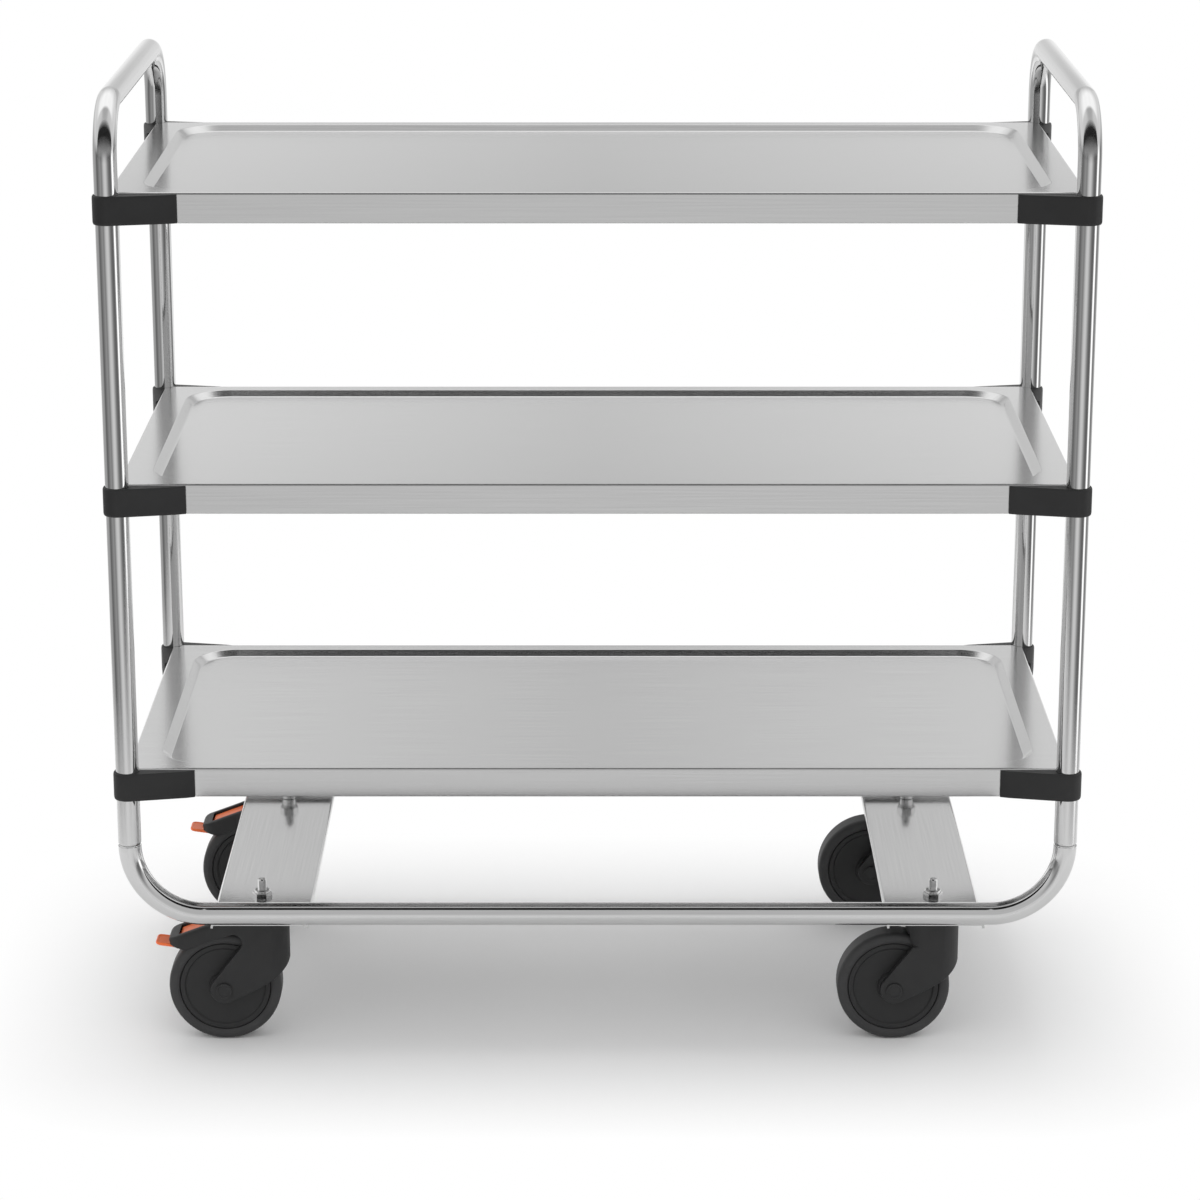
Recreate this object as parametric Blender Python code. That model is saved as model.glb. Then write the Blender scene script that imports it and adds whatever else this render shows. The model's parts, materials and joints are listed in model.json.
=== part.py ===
"""Food service trolley.

Three pressed trays hang between two bent-tube handle frames. Two bent rails plug into the posts
below, and two cross beams under the rails carry four swivel casters. The left casters have a brake.
"""

import math

import bmesh
import bpy
from mathutils import Vector

# Driving dimensions, in metres. X runs left to right, Y front to back and Z up from the floor.

# Clearances
SEAT_GAP = 0.0003
RUNNING_GAP = 0.0003

# Tube frame
POST_SPAN_X = 1.020
POST_SPAN_Y = 0.470
OVERALL_HEIGHT = 1.0625
TUBE_DIAMETER = 0.025
TUBE_WALL = 0.0015
HANDLE_BEND_RADIUS = 0.058
RAIL_BEND_RADIUS = 0.080
RAIL_UPSTAND = 0.0015
SPIGOT_LENGTH = 0.030
SPIGOT_WALL = 0.0015
TUBE_END_CHAMFER = 0.0006

# Pressed shelves
HANDLE_RISE = 0.103
LOWER_BAY_PITCH = 0.3184
BOTTOM_SHELF_RISE = 0.0848
SHELF_INSET_Y = 0.004
SHELF_SHEET = 0.0012
SHELF_SKIRT = 0.0325
SHELF_LIP = 0.009
SHELF_EDGE_RADIUS = 0.0025
RECESS_RIM_X = 0.0315
RECESS_RIM_Y = 0.0185
RECESS_DEPTH = 0.007
RECESS_WALL_RUN = 0.008
RECESS_CORNER_RADIUS = 0.050

# Corner brackets
BRACKET_WALL = 0.0023
BRACKET_REACH = 0.0725
BRACKET_WING_END = 0.003
BRACKET_FACET_LENGTH = 0.009
BRACKET_FACET_RISE = 0.0032
BRACKET_DROP = 0.0015
BRACKET_HEIGHT = 0.0305
BRACKET_EDGE_INSET = 0.0012
BRACKET_EDGE_RISE = 0.0035

# Cross beams
BEAM_WIDTH = 0.107
BEAM_SHEET = 0.0025
BEAM_FLANGE = 0.0055
BEAM_BEND_RADIUS = 0.0036
BEAM_END_INSET = 0.002

# Wheels
CASTER_INSET_X = 0.1385
CASTER_INSET_Y = 0.048
CASTER_TRAIL = 0.0425
WHEEL_DIAMETER = 0.125
WHEEL_WIDTH = 0.032
WHEEL_TOP_GAP = 0.003
WHEEL_SIDE_GAP = 0.002
TYRE_DEPTH = 0.0115
TYRE_BELLY_DEPTH = 0.0063
TYRE_SHOULDER_DEPTH = 0.0017
TYRE_SHOULDER_WIDTH = 0.029
TYRE_TREAD_WIDTH = 0.018
TYRE_BEAD_WIDTH = 0.0292
CORE_RIM_WIDTH = 0.0284
CORE_RIM_DEPTH = 0.005
CORE_WEB_WIDTH = 0.025
HUB_RADIUS = 0.0165
AXLE_DIAMETER = 0.010
AXLE_HEAD_RADIUS = 0.009
AXLE_HEAD_THICKNESS = 0.0022
AXLE_HEAD_CHAMFER = 0.0008

# Forks
FORK_LEG_THICKNESS = 0.009
CROWN_RADIUS = 0.0294
CROWN_STRETCH = 0.0031
CROWN_THICKNESS = 0.019
CROWN_DEPTH = 0.0502
CROWN_BACK_DEPTH = 0.0082
SHOULDER_SETBACK = 0.010
SHOULDER_DEPTH = 0.0305
BOSS_RADIUS = 0.0155
FORK_CURVE_DROP = 0.0112
FORK_CURVE_RUN = 0.040
FORK_TOE_SLOPE = math.radians(24)

# Swivel bolts
BOLT_DIAMETER = 0.010
BOLT_HEAD_RADIUS = 0.010
BOLT_HEAD_THICKNESS = 0.0055
BOLT_TIP = 0.0125
BOLT_TIP_CHAMFER = 0.0014
RACE_RADIUS = 0.022
RACE_THICKNESS = 0.0019
SPACER_RADIUS = 0.0078
SPACER_HEIGHT = 0.008
WASHER_RADIUS = 0.0088
WASHER_THICKNESS = 0.002
NUT_ACROSS_FLATS = 0.019
NUT_HEX_HEIGHT = 0.010
NUT_COLLAR_RADIUS = 0.0088
NUT_COLLAR_HEIGHT = 0.0025
NUT_CORNER_BREAK = 0.0008

# Brakes
HOOD_WIDTH = 0.045
HOOD_REACH = 0.104
HOOD_CORNER_RADIUS = 0.014
HOOD_RIM_DROP = 0.0012
HOOD_RIM_START = 0.044
HOOD_SLOPE = math.radians(20.5)
HOOD_EDGE_RADIUS = 0.004
HOOD_NOSE_RADIUS = 0.006
HOOD_NOSE_DEPTH = 0.031
HOOD_HEEL_REACH = 0.086
HOOD_HEEL_DEPTH = 0.036
HOOD_ROOT_REACH = 0.027
HOOD_ROOT_DEPTH = 0.014
HOOD_END_WALL = 0.0125
HOOD_END_FOOT = 0.0055
HOOD_FILLET_RADIUS = 0.0097
HOOD_TAPER_START = 0.034
HOOD_TAPER_END = 0.062
POCKET_ROOT_REACH = 0.050
WINDOW_DEPTH = 0.029
PEDAL_WIDTH = 0.027
PEDAL_SIDE_GAP = 0.0007
PEDAL_THICKNESS = 0.0034
PEDAL_SINK = 0.003
PEDAL_END_GAP = 0.0013
PEDAL_REACH = 0.119
PEDAL_TIP_DEPTH = 0.0322
PEDAL_TIP_RISE = math.radians(8)
PEDAL_TIP_RADIUS = 0.0065
PEDAL_HUB_RADIUS = 0.0046
PEDAL_TRAVEL = math.radians(8)
PIN_DIAMETER = 0.005
PIN_REACH = 0.056
PIN_DEPTH = 0.0138
PIN_COVER = 0.0035
SHOE_WIDTH = 0.022
SHOE_START = 0.007
SHOE_END = 0.022
SHOE_TYRE_GAP = 0.0004

# Facets
TUBE_SIDES = 12
BEND_STEPS = 5
WHEEL_STEPS = 20
SLOT_STEPS = 24
SMALL_STEPS = 12
NUT_STEPS = 2 * 6
EDGE_STEPS = 2
ROUND_PROFILE = 0.5
CORNER_STEPS = 3
RECESS_STEPS = 4
CURVE_STEPS = 6
BRACKET_STEPS = 11
BRACKET_OUTER_STEPS = 6
BRACKET_WRAP = math.radians(285)
SHARP_ANGLE = math.radians(35)

# Sizes that follow from them
TUBE_RADIUS = TUBE_DIAMETER / 2
BORE_RADIUS = TUBE_RADIUS - TUBE_WALL
WHEEL_RADIUS = WHEEL_DIAMETER / 2
AXLE_HEIGHT = WHEEL_RADIUS
AXLE_RADIUS = AXLE_DIAMETER / 2
BOLT_RADIUS = BOLT_DIAMETER / 2
PIN_RADIUS = PIN_DIAMETER / 2
SLOT_RADIUS = WHEEL_RADIUS + WHEEL_TOP_GAP
SLOT_HALF = WHEEL_WIDTH / 2 + WHEEL_SIDE_GAP
FORK_HALF = SLOT_HALF + FORK_LEG_THICKNESS
BOLT_HEAD_LOW = AXLE_HEIGHT + math.sqrt(SLOT_RADIUS**2 - (CASTER_TRAIL - BOLT_HEAD_RADIUS) ** 2)
BOLT_SEAT = BOLT_HEAD_LOW + BOLT_HEAD_THICKNESS + SEAT_GAP
FORK_TOP = BOLT_SEAT + CROWN_THICKNESS
RACE_LOW = FORK_TOP + RUNNING_GAP
BEAM_LOW = RACE_LOW + RACE_THICKNESS + SEAT_GAP
BEAM_TOP = BEAM_LOW + BEAM_SHEET
RAIL_AXIS_HEIGHT = BEAM_TOP + SEAT_GAP + TUBE_RADIUS
JOINT_HEIGHT = RAIL_AXIS_HEIGHT + RAIL_BEND_RADIUS + RAIL_UPSTAND
HANDLE_AXIS_HEIGHT = OVERALL_HEIGHT - TUBE_RADIUS
BOTTOM_SHELF_HEIGHT = JOINT_HEIGHT + BOTTOM_SHELF_RISE
SHELF_HEIGHTS = {
    "top": OVERALL_HEIGHT - HANDLE_RISE,
    "middle": BOTTOM_SHELF_HEIGHT + LOWER_BAY_PITCH,
    "bottom": BOTTOM_SHELF_HEIGHT,
}
CASTER_SPAN_X = POST_SPAN_X - 2 * CASTER_INSET_X
CASTER_SPAN_Y = POST_SPAN_Y - 2 * CASTER_INSET_Y
WASHER_LOW = BEAM_TOP + SEAT_GAP
NUT_LOW = WASHER_LOW + SPACER_HEIGHT + WASHER_THICKNESS + SEAT_GAP
BOLT_TOP = NUT_LOW + NUT_HEX_HEIGHT + NUT_COLLAR_HEIGHT + BOLT_TIP
PIN_HEIGHT = FORK_TOP - PIN_DEPTH
PIN_HALF = HOOD_WIDTH / 2 - PIN_COVER

CORNERS = {
    "front_left": (-1, -1),
    "front_right": (1, -1),
    "rear_left": (-1, 1),
    "rear_right": (1, 1),
}


# Modelling helpers


def arc(centre, radius, start, end, steps):
    """Points of a round stretch between two angles in degrees, both ends included."""
    angles = [math.radians(start + (end - start) * i / steps) for i in range(steps + 1)]
    return [(centre[0] + radius * math.cos(a), centre[1] + radius * math.sin(a)) for a in angles]


def bezier(start, pull_start, pull_end, end, steps):
    """Points of a cubic curve, both ends included."""
    points = []
    for i in range(steps + 1):
        t = i / steps
        weights = ((1 - t) ** 3, 3 * t * (1 - t) ** 2, 3 * t * t * (1 - t), t**3)
        ends = (start, pull_start, pull_end, end)
        points.append(tuple(sum(w * p[k] for w, p in zip(weights, ends)) for k in (0, 1)))
    return points


def tangent_angle(point, radius, side):
    """Angle in degrees at which a line from the point touches a circle round the origin."""
    away = math.hypot(*point)
    return math.degrees(math.atan2(point[1], point[0]) + side * math.acos(radius / away))


def rounded_rectangle(half_x, half_y, radius, steps):
    points = []
    for quarter, (sx, sy) in enumerate(((1, 1), (-1, 1), (-1, -1), (1, -1))):
        centre = (sx * (half_x - radius), sy * (half_y - radius))
        points += arc(centre, radius, 90 * quarter, 90 * quarter + 90, steps)
    return points


def loft(loops):
    """A closed bmesh through loops of equal counts of 3D points, with a cap at each end."""
    bm = bmesh.new()
    rows = [[bm.verts.new(p) for p in loop] for loop in loops]
    for low, high in zip(rows, rows[1:]):
        for i in range(len(low)):
            j = (i + 1) % len(low)
            bm.faces.new((low[i], low[j], high[j], high[i]))
    bm.faces.new(rows[0][::-1])
    bm.faces.new(rows[-1])
    bmesh.ops.recalc_face_normals(bm, faces=bm.faces)
    return bm


def prism(outline, axis, low, high):
    """A closed bmesh of an outline extruded along an axis. It lies in the other two axes, in order."""
    slot = "XYZ".index(axis)
    bm = bmesh.new()
    points = [Vector(p[:slot] + (low,) + p[slot:]) for p in map(tuple, outline)]
    face = bm.faces.new([bm.verts.new(p) for p in points])
    made = bmesh.ops.extrude_face_region(bm, geom=[face])["geom"]
    along = Vector((0, 0, 0))
    along[slot] = high - low
    bmesh.ops.translate(bm, vec=along, verts=[v for v in made if isinstance(v, bmesh.types.BMVert)])
    bmesh.ops.recalc_face_normals(bm, faces=bm.faces)
    return bm


def close_ladder(bm, rings):
    """Joins rings of equal counts of vertices, each to the next and the last to the first."""
    for low, high in zip(rings, rings[1:] + rings[:1]):
        for i in range(len(low)):
            j = (i + 1) % len(low)
            bm.faces.new((low[i], low[j], high[j], high[i]))
    bmesh.ops.recalc_face_normals(bm, faces=bm.faces)


def box(low, high):
    outline = [(low[0], low[1]), (high[0], low[1]), (high[0], high[1]), (low[0], high[1])]
    return prism(outline, "Z", low[2], high[2])


def cylinder(centre, radius, axis, low, high, steps):
    return prism(arc(centre, radius, 0, 360 - 360 / steps, steps - 1), axis, low, high)


def turned(profile, axis, steps):
    """A closed bmesh turned about an axis. The profile holds (radius, place along the axis) points."""
    slot = "XYZ".index(axis)
    start = 0 if slot else 1
    bm = bmesh.new()
    verts = []
    for radius, along in profile:
        point = Vector((0, 0, 0))
        point[start] = radius
        point[slot] = along
        verts.append(bm.verts.new(point))
    edges = [bm.edges.new(pair) for pair in zip(verts, verts[1:])]
    if profile[0][0] > 0:
        edges.append(bm.edges.new((verts[-1], verts[0])))
    turn_axis = Vector((0, 0, 0))
    turn_axis[slot] = 1
    bmesh.ops.spin(
        bm, geom=verts + edges, cent=(0, 0, 0), axis=turn_axis, angle=math.tau, steps=steps, use_merge=True
    )
    bmesh.ops.remove_doubles(bm, verts=bm.verts, dist=SEAT_GAP / 100)
    bmesh.ops.recalc_face_normals(bm, faces=bm.faces)
    return bm


def boolean(base, tool, operation):
    """The base cut by, joined to or kept inside the tool. Both are closed and are used up."""
    holders = []
    for bm in (base, tool):
        mesh = bpy.data.meshes.new("working")
        bm.to_mesh(mesh)
        bm.free()
        holders.append(bpy.data.objects.new("working", mesh))
        bpy.context.scene.collection.objects.link(holders[-1])
    modifier = holders[0].modifiers.new("boolean", "BOOLEAN")
    modifier.operation = operation
    modifier.solver = "EXACT"
    modifier.object = holders[1]
    result = bmesh.new()
    result.from_object(holders[0], bpy.context.evaluated_depsgraph_get())
    for holder in holders:
        mesh = holder.data
        bpy.data.objects.remove(holder)
        bpy.data.meshes.remove(mesh)
    return result


def material(name, colour, roughness, metallic):
    made = bpy.data.materials.new(name)
    made.use_nodes = True
    shader = made.node_tree.nodes["Principled BSDF"]
    shader.inputs["Base Color"].default_value = (*colour, 1)
    shader.inputs["Roughness"].default_value = roughness
    shader.inputs["Metallic"].default_value = metallic
    return made


def add(name, bm, finish, parent=None):
    """Makes the bmesh a named object, smooth over gentle edges and sharp over the rest."""
    mesh = bpy.data.meshes.new(name)
    bm.to_mesh(mesh)
    bm.free()
    mesh.shade_smooth()
    mesh.set_sharp_from_angle(angle=SHARP_ANGLE)
    mesh.materials.append(finish)
    obj = bpy.data.objects.new(name, mesh)
    obj.parent = parent
    bpy.context.scene.collection.objects.link(obj)
    return obj


def pivot(name, place, parent=None):
    """An empty on a joint's axis, which the pieces that move there are parented to."""
    made = bpy.data.objects.new(name, None)
    made.location = place
    made.parent = parent
    bpy.context.scene.collection.objects.link(made)
    return made


# Tube frame


def u_bend(span, bar, end, radius):
    """Centre line of a tube bent to a U, as ((across, height), (direction)) pairs from end to end."""
    up = 1 if bar > end else -1
    centre_height = bar - up * radius
    angles = [math.radians(90 * i / BEND_STEPS) for i in range(BEND_STEPS + 1)]
    rising = [
        ((-span / 2 + radius - radius * math.cos(a), centre_height + up * radius * math.sin(a)),
         (math.sin(a), up * math.cos(a)))
        for a in angles
    ]
    falling = [((-x, z), (dx, -dz)) for (x, z), (dx, dz) in reversed(rising)]
    first = ((-span / 2, end), (0, up))
    last = ((span / 2, end), (0, -up))
    return [first, *rising, *falling, last]


def tube(stations, plane):
    """A hollow tube through stations of place, direction, outer radius and bore radius, in a plane."""
    depth_axis, depth = plane
    slot = "XYZ".index(depth_axis)
    normal = Vector((0, 0, 0))
    normal[slot] = 1
    bm = bmesh.new()
    rings = []
    for place, direction, outer, bore in stations:
        centre = Vector(place[:slot] + (depth,) + place[slot:])
        along = Vector(direction[:slot] + (0,) + direction[slot:])
        across = along.cross(normal)
        pair = []
        for radius in (outer, bore):
            turns = [math.tau * i / TUBE_SIDES for i in range(TUBE_SIDES)]
            pair.append([
                bm.verts.new(centre + radius * (math.cos(t) * normal + math.sin(t) * across)) for t in turns
            ])
        rings.append(pair)
    close_ladder(bm, [outer for outer, _ in rings] + [bore for _, bore in reversed(rings)])
    return bm


def chamfered_end(place, direction, inward, bore):
    """Two stations that break the edge of a tube's end. Inward is +1 at the start and -1 at the end."""
    back = tuple(p + inward * TUBE_END_CHAMFER * d for p, d in zip(place, direction))
    lip = (place, direction, TUBE_RADIUS - TUBE_END_CHAMFER, bore)
    full = (back, direction, TUBE_RADIUS, bore)
    return [lip, full] if inward > 0 else [full, lip]


def handle_frame(x):
    line = u_bend(POST_SPAN_Y, HANDLE_AXIS_HEIGHT, JOINT_HEIGHT + SEAT_GAP, HANDLE_BEND_RADIUS)
    body = [(place, direction, TUBE_RADIUS, BORE_RADIUS) for place, direction in line[1:-1]]
    first = chamfered_end(*line[0], 1, BORE_RADIUS)
    last = chamfered_end(*line[-1], -1, BORE_RADIUS)
    return tube(first + body + last, ("X", x))


def lower_rail(y):
    """A bent tube whose necked ends stand up inside the posts' bores."""
    line = u_bend(POST_SPAN_X, RAIL_AXIS_HEIGHT, JOINT_HEIGHT, RAIL_BEND_RADIUS)
    neck = BORE_RADIUS - SEAT_GAP
    neck_bore = neck - SPIGOT_WALL
    body = [(place, direction, TUBE_RADIUS, BORE_RADIUS) for place, direction in line[1:-1]]
    ends = []
    for (place, direction), inward in ((line[0], 1), (line[-1], -1)):
        tip = (place[0], place[1] + SPIGOT_LENGTH)
        spigot = [(tip, direction, neck, neck_bore), (place, direction, neck, neck_bore)]
        shoulder = chamfered_end(place, direction, inward, neck_bore)
        ends.append(spigot + shoulder if inward > 0 else shoulder + spigot[::-1])
    return tube(ends[0] + body + ends[1], ("Y", y))


# Pressed shelves


def plate(half_x, half_y, low, high, edge_radius):
    """A block whose upper edges are rounded, as a folded sheet's are."""
    outline = [(half_x, half_y), (-half_x, half_y), (-half_x, -half_y), (half_x, -half_y)]
    bm = prism(outline, "Z", low, high)
    middle = (low + high) / 2
    upper = [e for e in bm.edges if all(v.co.z > middle for v in e.verts)]
    rounding = {"offset": edge_radius, "segments": EDGE_STEPS, "profile": ROUND_PROFILE}
    bmesh.ops.bevel(bm, geom=upper, affect="EDGES", **rounding)
    return bm


def recess(half_x, half_y, floor, rim, grow):
    """The hollow of the tray, with sloping walls. Grow moves its surface out by the sheet."""
    slope = RECESS_WALL_RUN / RECESS_DEPTH
    top = rim + SHELF_SKIRT
    loops = []
    for height in (floor, top):
        run = RECESS_WALL_RUN - slope * (height - floor) - grow
        radius = RECESS_CORNER_RADIUS - run
        outline = rounded_rectangle(half_x - run, half_y - run, radius, RECESS_STEPS)
        loops.append([(x, y, height) for x, y in outline])
    return loft(loops)


def shelf(top):
    half_x = POST_SPAN_X / 2
    half_y = POST_SPAN_Y / 2 - SHELF_INSET_Y
    low = top - SHELF_SKIRT
    sheet = SHELF_SHEET
    opening_x = half_x - RECESS_RIM_X
    opening_y = half_y - RECESS_RIM_Y
    floor = top - RECESS_DEPTH
    outside = plate(half_x, half_y, low, top, SHELF_EDGE_RADIUS)
    outside = boolean(outside, recess(opening_x, opening_y, floor, top, 0), "DIFFERENCE")
    inside = plate(half_x - sheet, half_y - sheet, low + sheet, top - sheet, SHELF_EDGE_RADIUS - sheet)
    inside = boolean(inside, recess(opening_x, opening_y, floor - sheet, top - sheet, sheet), "DIFFERENCE")
    mouth_x = half_x - SHELF_LIP
    mouth_y = half_y - SHELF_LIP
    mouth = box((-mouth_x, -mouth_y, low - sheet), (mouth_x, mouth_y, low + 2 * sheet))
    made = boolean(outside, inside, "DIFFERENCE")
    made = boolean(made, mouth, "DIFFERENCE")
    for sx, sy in CORNERS.values():
        post = (sx * POST_SPAN_X / 2, sy * POST_SPAN_Y / 2)
        notch = TUBE_RADIUS + 2 * SEAT_GAP
        cutter = cylinder(post, notch, "Z", low - sheet, top + sheet, SMALL_STEPS * 2)
        made = boolean(made, cutter, "DIFFERENCE")
    return made


# Corner brackets


def bracket_outline(inset):
    """Plan of a bracket round a post at the origin, with one wing along +x and one along +y."""
    inner = (TUBE_RADIUS + SEAT_GAP) / math.cos(BRACKET_WRAP / BRACKET_STEPS / 2)
    outer = TUBE_RADIUS + SEAT_GAP + BRACKET_WALL - inset
    face_x = -SEAT_GAP
    face_y = SHELF_INSET_Y - SEAT_GAP
    thickness = BRACKET_WING_END - inset
    knee = BRACKET_REACH - BRACKET_FACET_LENGTH
    front_knee = (knee, face_y - thickness - BRACKET_FACET_RISE)
    side_knee = (face_x - thickness - BRACKET_FACET_RISE, knee)
    start = tangent_angle(front_knee, outer, -1)
    end = tangent_angle(side_knee, outer, 1) - 360
    inner_side = math.degrees(math.acos(face_x / inner)) - 360
    inner_front = math.degrees(math.asin(face_y / inner))
    return [
        (BRACKET_REACH, face_y),
        (BRACKET_REACH, face_y - thickness),
        front_knee,
        *arc((0, 0), outer, start, end, BRACKET_OUTER_STEPS),
        side_knee,
        (face_x - thickness, BRACKET_REACH),
        (face_x, BRACKET_REACH),
        *arc((0, 0), inner, inner_side, inner_front, BRACKET_STEPS),
    ]


def bracket(corner, shelf_top):
    sx, sy = CORNERS[corner]
    high = shelf_top - BRACKET_DROP
    low = high - BRACKET_HEIGHT
    layers = (
        (low, BRACKET_EDGE_INSET),
        (low + BRACKET_EDGE_RISE, 0),
        (high - BRACKET_EDGE_RISE, 0),
        (high, BRACKET_EDGE_INSET),
    )
    loops = []
    for height, inset in layers:
        plan = bracket_outline(inset)
        loops.append([
            (sx * (POST_SPAN_X / 2 - u), sy * (POST_SPAN_Y / 2 - v), height) for u, v in plan
        ])
    return loft(loops)


# Cross beams


def cross_beam(x):
    """A flanged sheet under both rails, with a hole for each swivel bolt."""
    half = BEAM_WIDTH / 2
    low = BEAM_TOP - BEAM_FLANGE
    outer = BEAM_BEND_RADIUS
    inner = BEAM_BEND_RADIUS - BEAM_SHEET
    bend_height = BEAM_TOP - outer
    right = [(half - BEAM_SHEET, low), (half, low)]
    right += arc((half - outer, bend_height), outer, 0, 90, CORNER_STEPS)
    left = arc((-half + outer, bend_height), outer, 90, 180, CORNER_STEPS)
    left += [(-half, low), (-half + BEAM_SHEET, low)]
    under = arc((-half + outer, bend_height), inner, 180, 90, CORNER_STEPS)
    under += arc((half - outer, bend_height), inner, 90, 0, CORNER_STEPS)
    end = POST_SPAN_Y / 2 - BEAM_END_INSET
    made = prism([(x + u, z) for u, z in right + left + under], "Y", -end, end)
    for side in (-1, 1):
        place = (x, side * CASTER_SPAN_Y / 2)
        hole = cylinder(place, BOLT_RADIUS + SEAT_GAP, "Z", low, BEAM_TOP + BEAM_SHEET, SMALL_STEPS)
        made = boolean(made, hole, "DIFFERENCE")
    return made


# Casters, modelled about the foot of the swivel axis, with the wheel trailing towards -X


def leg_rear_edge():
    """The shoulder that a leg's rear edge rises to, and the angle at which it leaves the axle boss."""
    shoulder = (SHOULDER_SETBACK - CROWN_RADIUS - CROWN_STRETCH, FORK_TOP - SHOULDER_DEPTH)
    reach = (shoulder[0] + CASTER_TRAIL, shoulder[1] - AXLE_HEIGHT)
    return shoulder, tangent_angle(reach, BOSS_RADIUS, 1)


def hood_fillet():
    """Centre of the round between the hood's underside and a leg, and where it leaves the underside."""
    shoulder, leave = leg_rear_edge()
    root = Vector((-HOOD_ROOT_REACH, FORK_TOP - HOOD_ROOT_DEPTH))
    heel = Vector((-HOOD_HEEL_REACH, FORK_TOP - HOOD_HEEL_DEPTH))
    under = (root - heel).normalized()
    below = Vector((under.y, -under.x))
    behind = Vector((math.cos(math.radians(leave)), math.sin(math.radians(leave))))
    on_under = root + HOOD_FILLET_RADIUS * below
    on_leg = Vector(shoulder) + HOOD_FILLET_RADIUS * behind
    run = (on_leg - on_under).dot(behind) / under.dot(behind)
    return tuple(on_under + run * under), tuple(root + run * under)


def fork_side(braked):
    """Side outline of a fork: crown, curved front edge, axle boss and the leg's rear edge."""
    back = CROWN_RADIUS + CROWN_STRETCH
    shoulder, leave = leg_rear_edge()
    axle = (-CASTER_TRAIL, AXLE_HEIGHT)
    crown_low = FORK_TOP - CROWN_DEPTH
    boss = arc(axle, BOSS_RADIUS, 270 + math.degrees(FORK_TOE_SLOPE), leave, CURVE_STEPS)
    toe_x, toe_z = boss[0]
    run_x, run_z = FORK_CURVE_RUN * math.cos(FORK_TOE_SLOPE), FORK_CURVE_RUN * math.sin(FORK_TOE_SLOPE)
    front = bezier(
        (CROWN_RADIUS, crown_low),
        (CROWN_RADIUS, crown_low - FORK_CURVE_DROP),
        (toe_x + run_x, toe_z + run_z),
        (toe_x, toe_z),
        CURVE_STEPS,
    )
    under_hood = [hood_fillet()[1]] if braked else []
    crown_back = [shoulder, *under_hood, (-back, FORK_TOP - CROWN_BACK_DEPTH), (-back, FORK_TOP)]
    return [(CROWN_RADIUS, FORK_TOP), *front, *boss[1:], *crown_back]


def crown_trim(depth):
    """What is cut away down to a depth so that the crown's back is round."""
    back = CROWN_RADIUS + CROWN_STRETCH
    low = FORK_TOP - depth
    high = FORK_TOP + CROWN_THICKNESS
    width = FORK_HALF + CROWN_RADIUS
    block = box((-back - CROWN_RADIUS, -width, low), (-CROWN_STRETCH, width, high))
    centre = (-CROWN_STRETCH, 0)
    round_back = cylinder(centre, CROWN_RADIUS, "Z", low - RACE_RADIUS, high + RACE_RADIUS, SLOT_STEPS)
    return boolean(block, round_back, "DIFFERENCE")


def fork_body(braked):
    side = prism(fork_side(braked), "Y", -FORK_HALF, FORK_HALF)
    rear = -CASTER_TRAIL - 2 * BOSS_RADIUS
    nose = arc((0, 0), CROWN_RADIUS, -90, 90, SLOT_STEPS // 2)
    plan = [(rear, -CROWN_RADIUS), *nose, (rear, CROWN_RADIUS)]
    made = boolean(side, prism(plan, "Z", -AXLE_HEIGHT, 2 * FORK_TOP), "INTERSECT")
    trim_depth = HOOD_RIM_DROP + HOOD_EDGE_RADIUS if braked else SHOULDER_DEPTH
    return boolean(made, crown_trim(trim_depth), "DIFFERENCE")


def rim_height(x):
    """Height of the hood's sloping rim."""
    return FORK_TOP - HOOD_RIM_DROP + (x + HOOD_RIM_START) * math.tan(HOOD_SLOPE)


def hood_section(x, half):
    """A section across the hood, rounded along its upper edges."""
    edge = HOOD_EDGE_RADIUS
    top = min(rim_height(x), rim_height(-HOOD_RIM_START))
    right = arc((half - edge, top - edge), edge, 0, 90, EDGE_STEPS)
    left = arc((edge - half, top - edge), edge, 90, 180, EDGE_STEPS)
    return [(x, y, z) for y, z in [(half, AXLE_HEIGHT), *right, *left, (-half, AXLE_HEIGHT)]]


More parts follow.
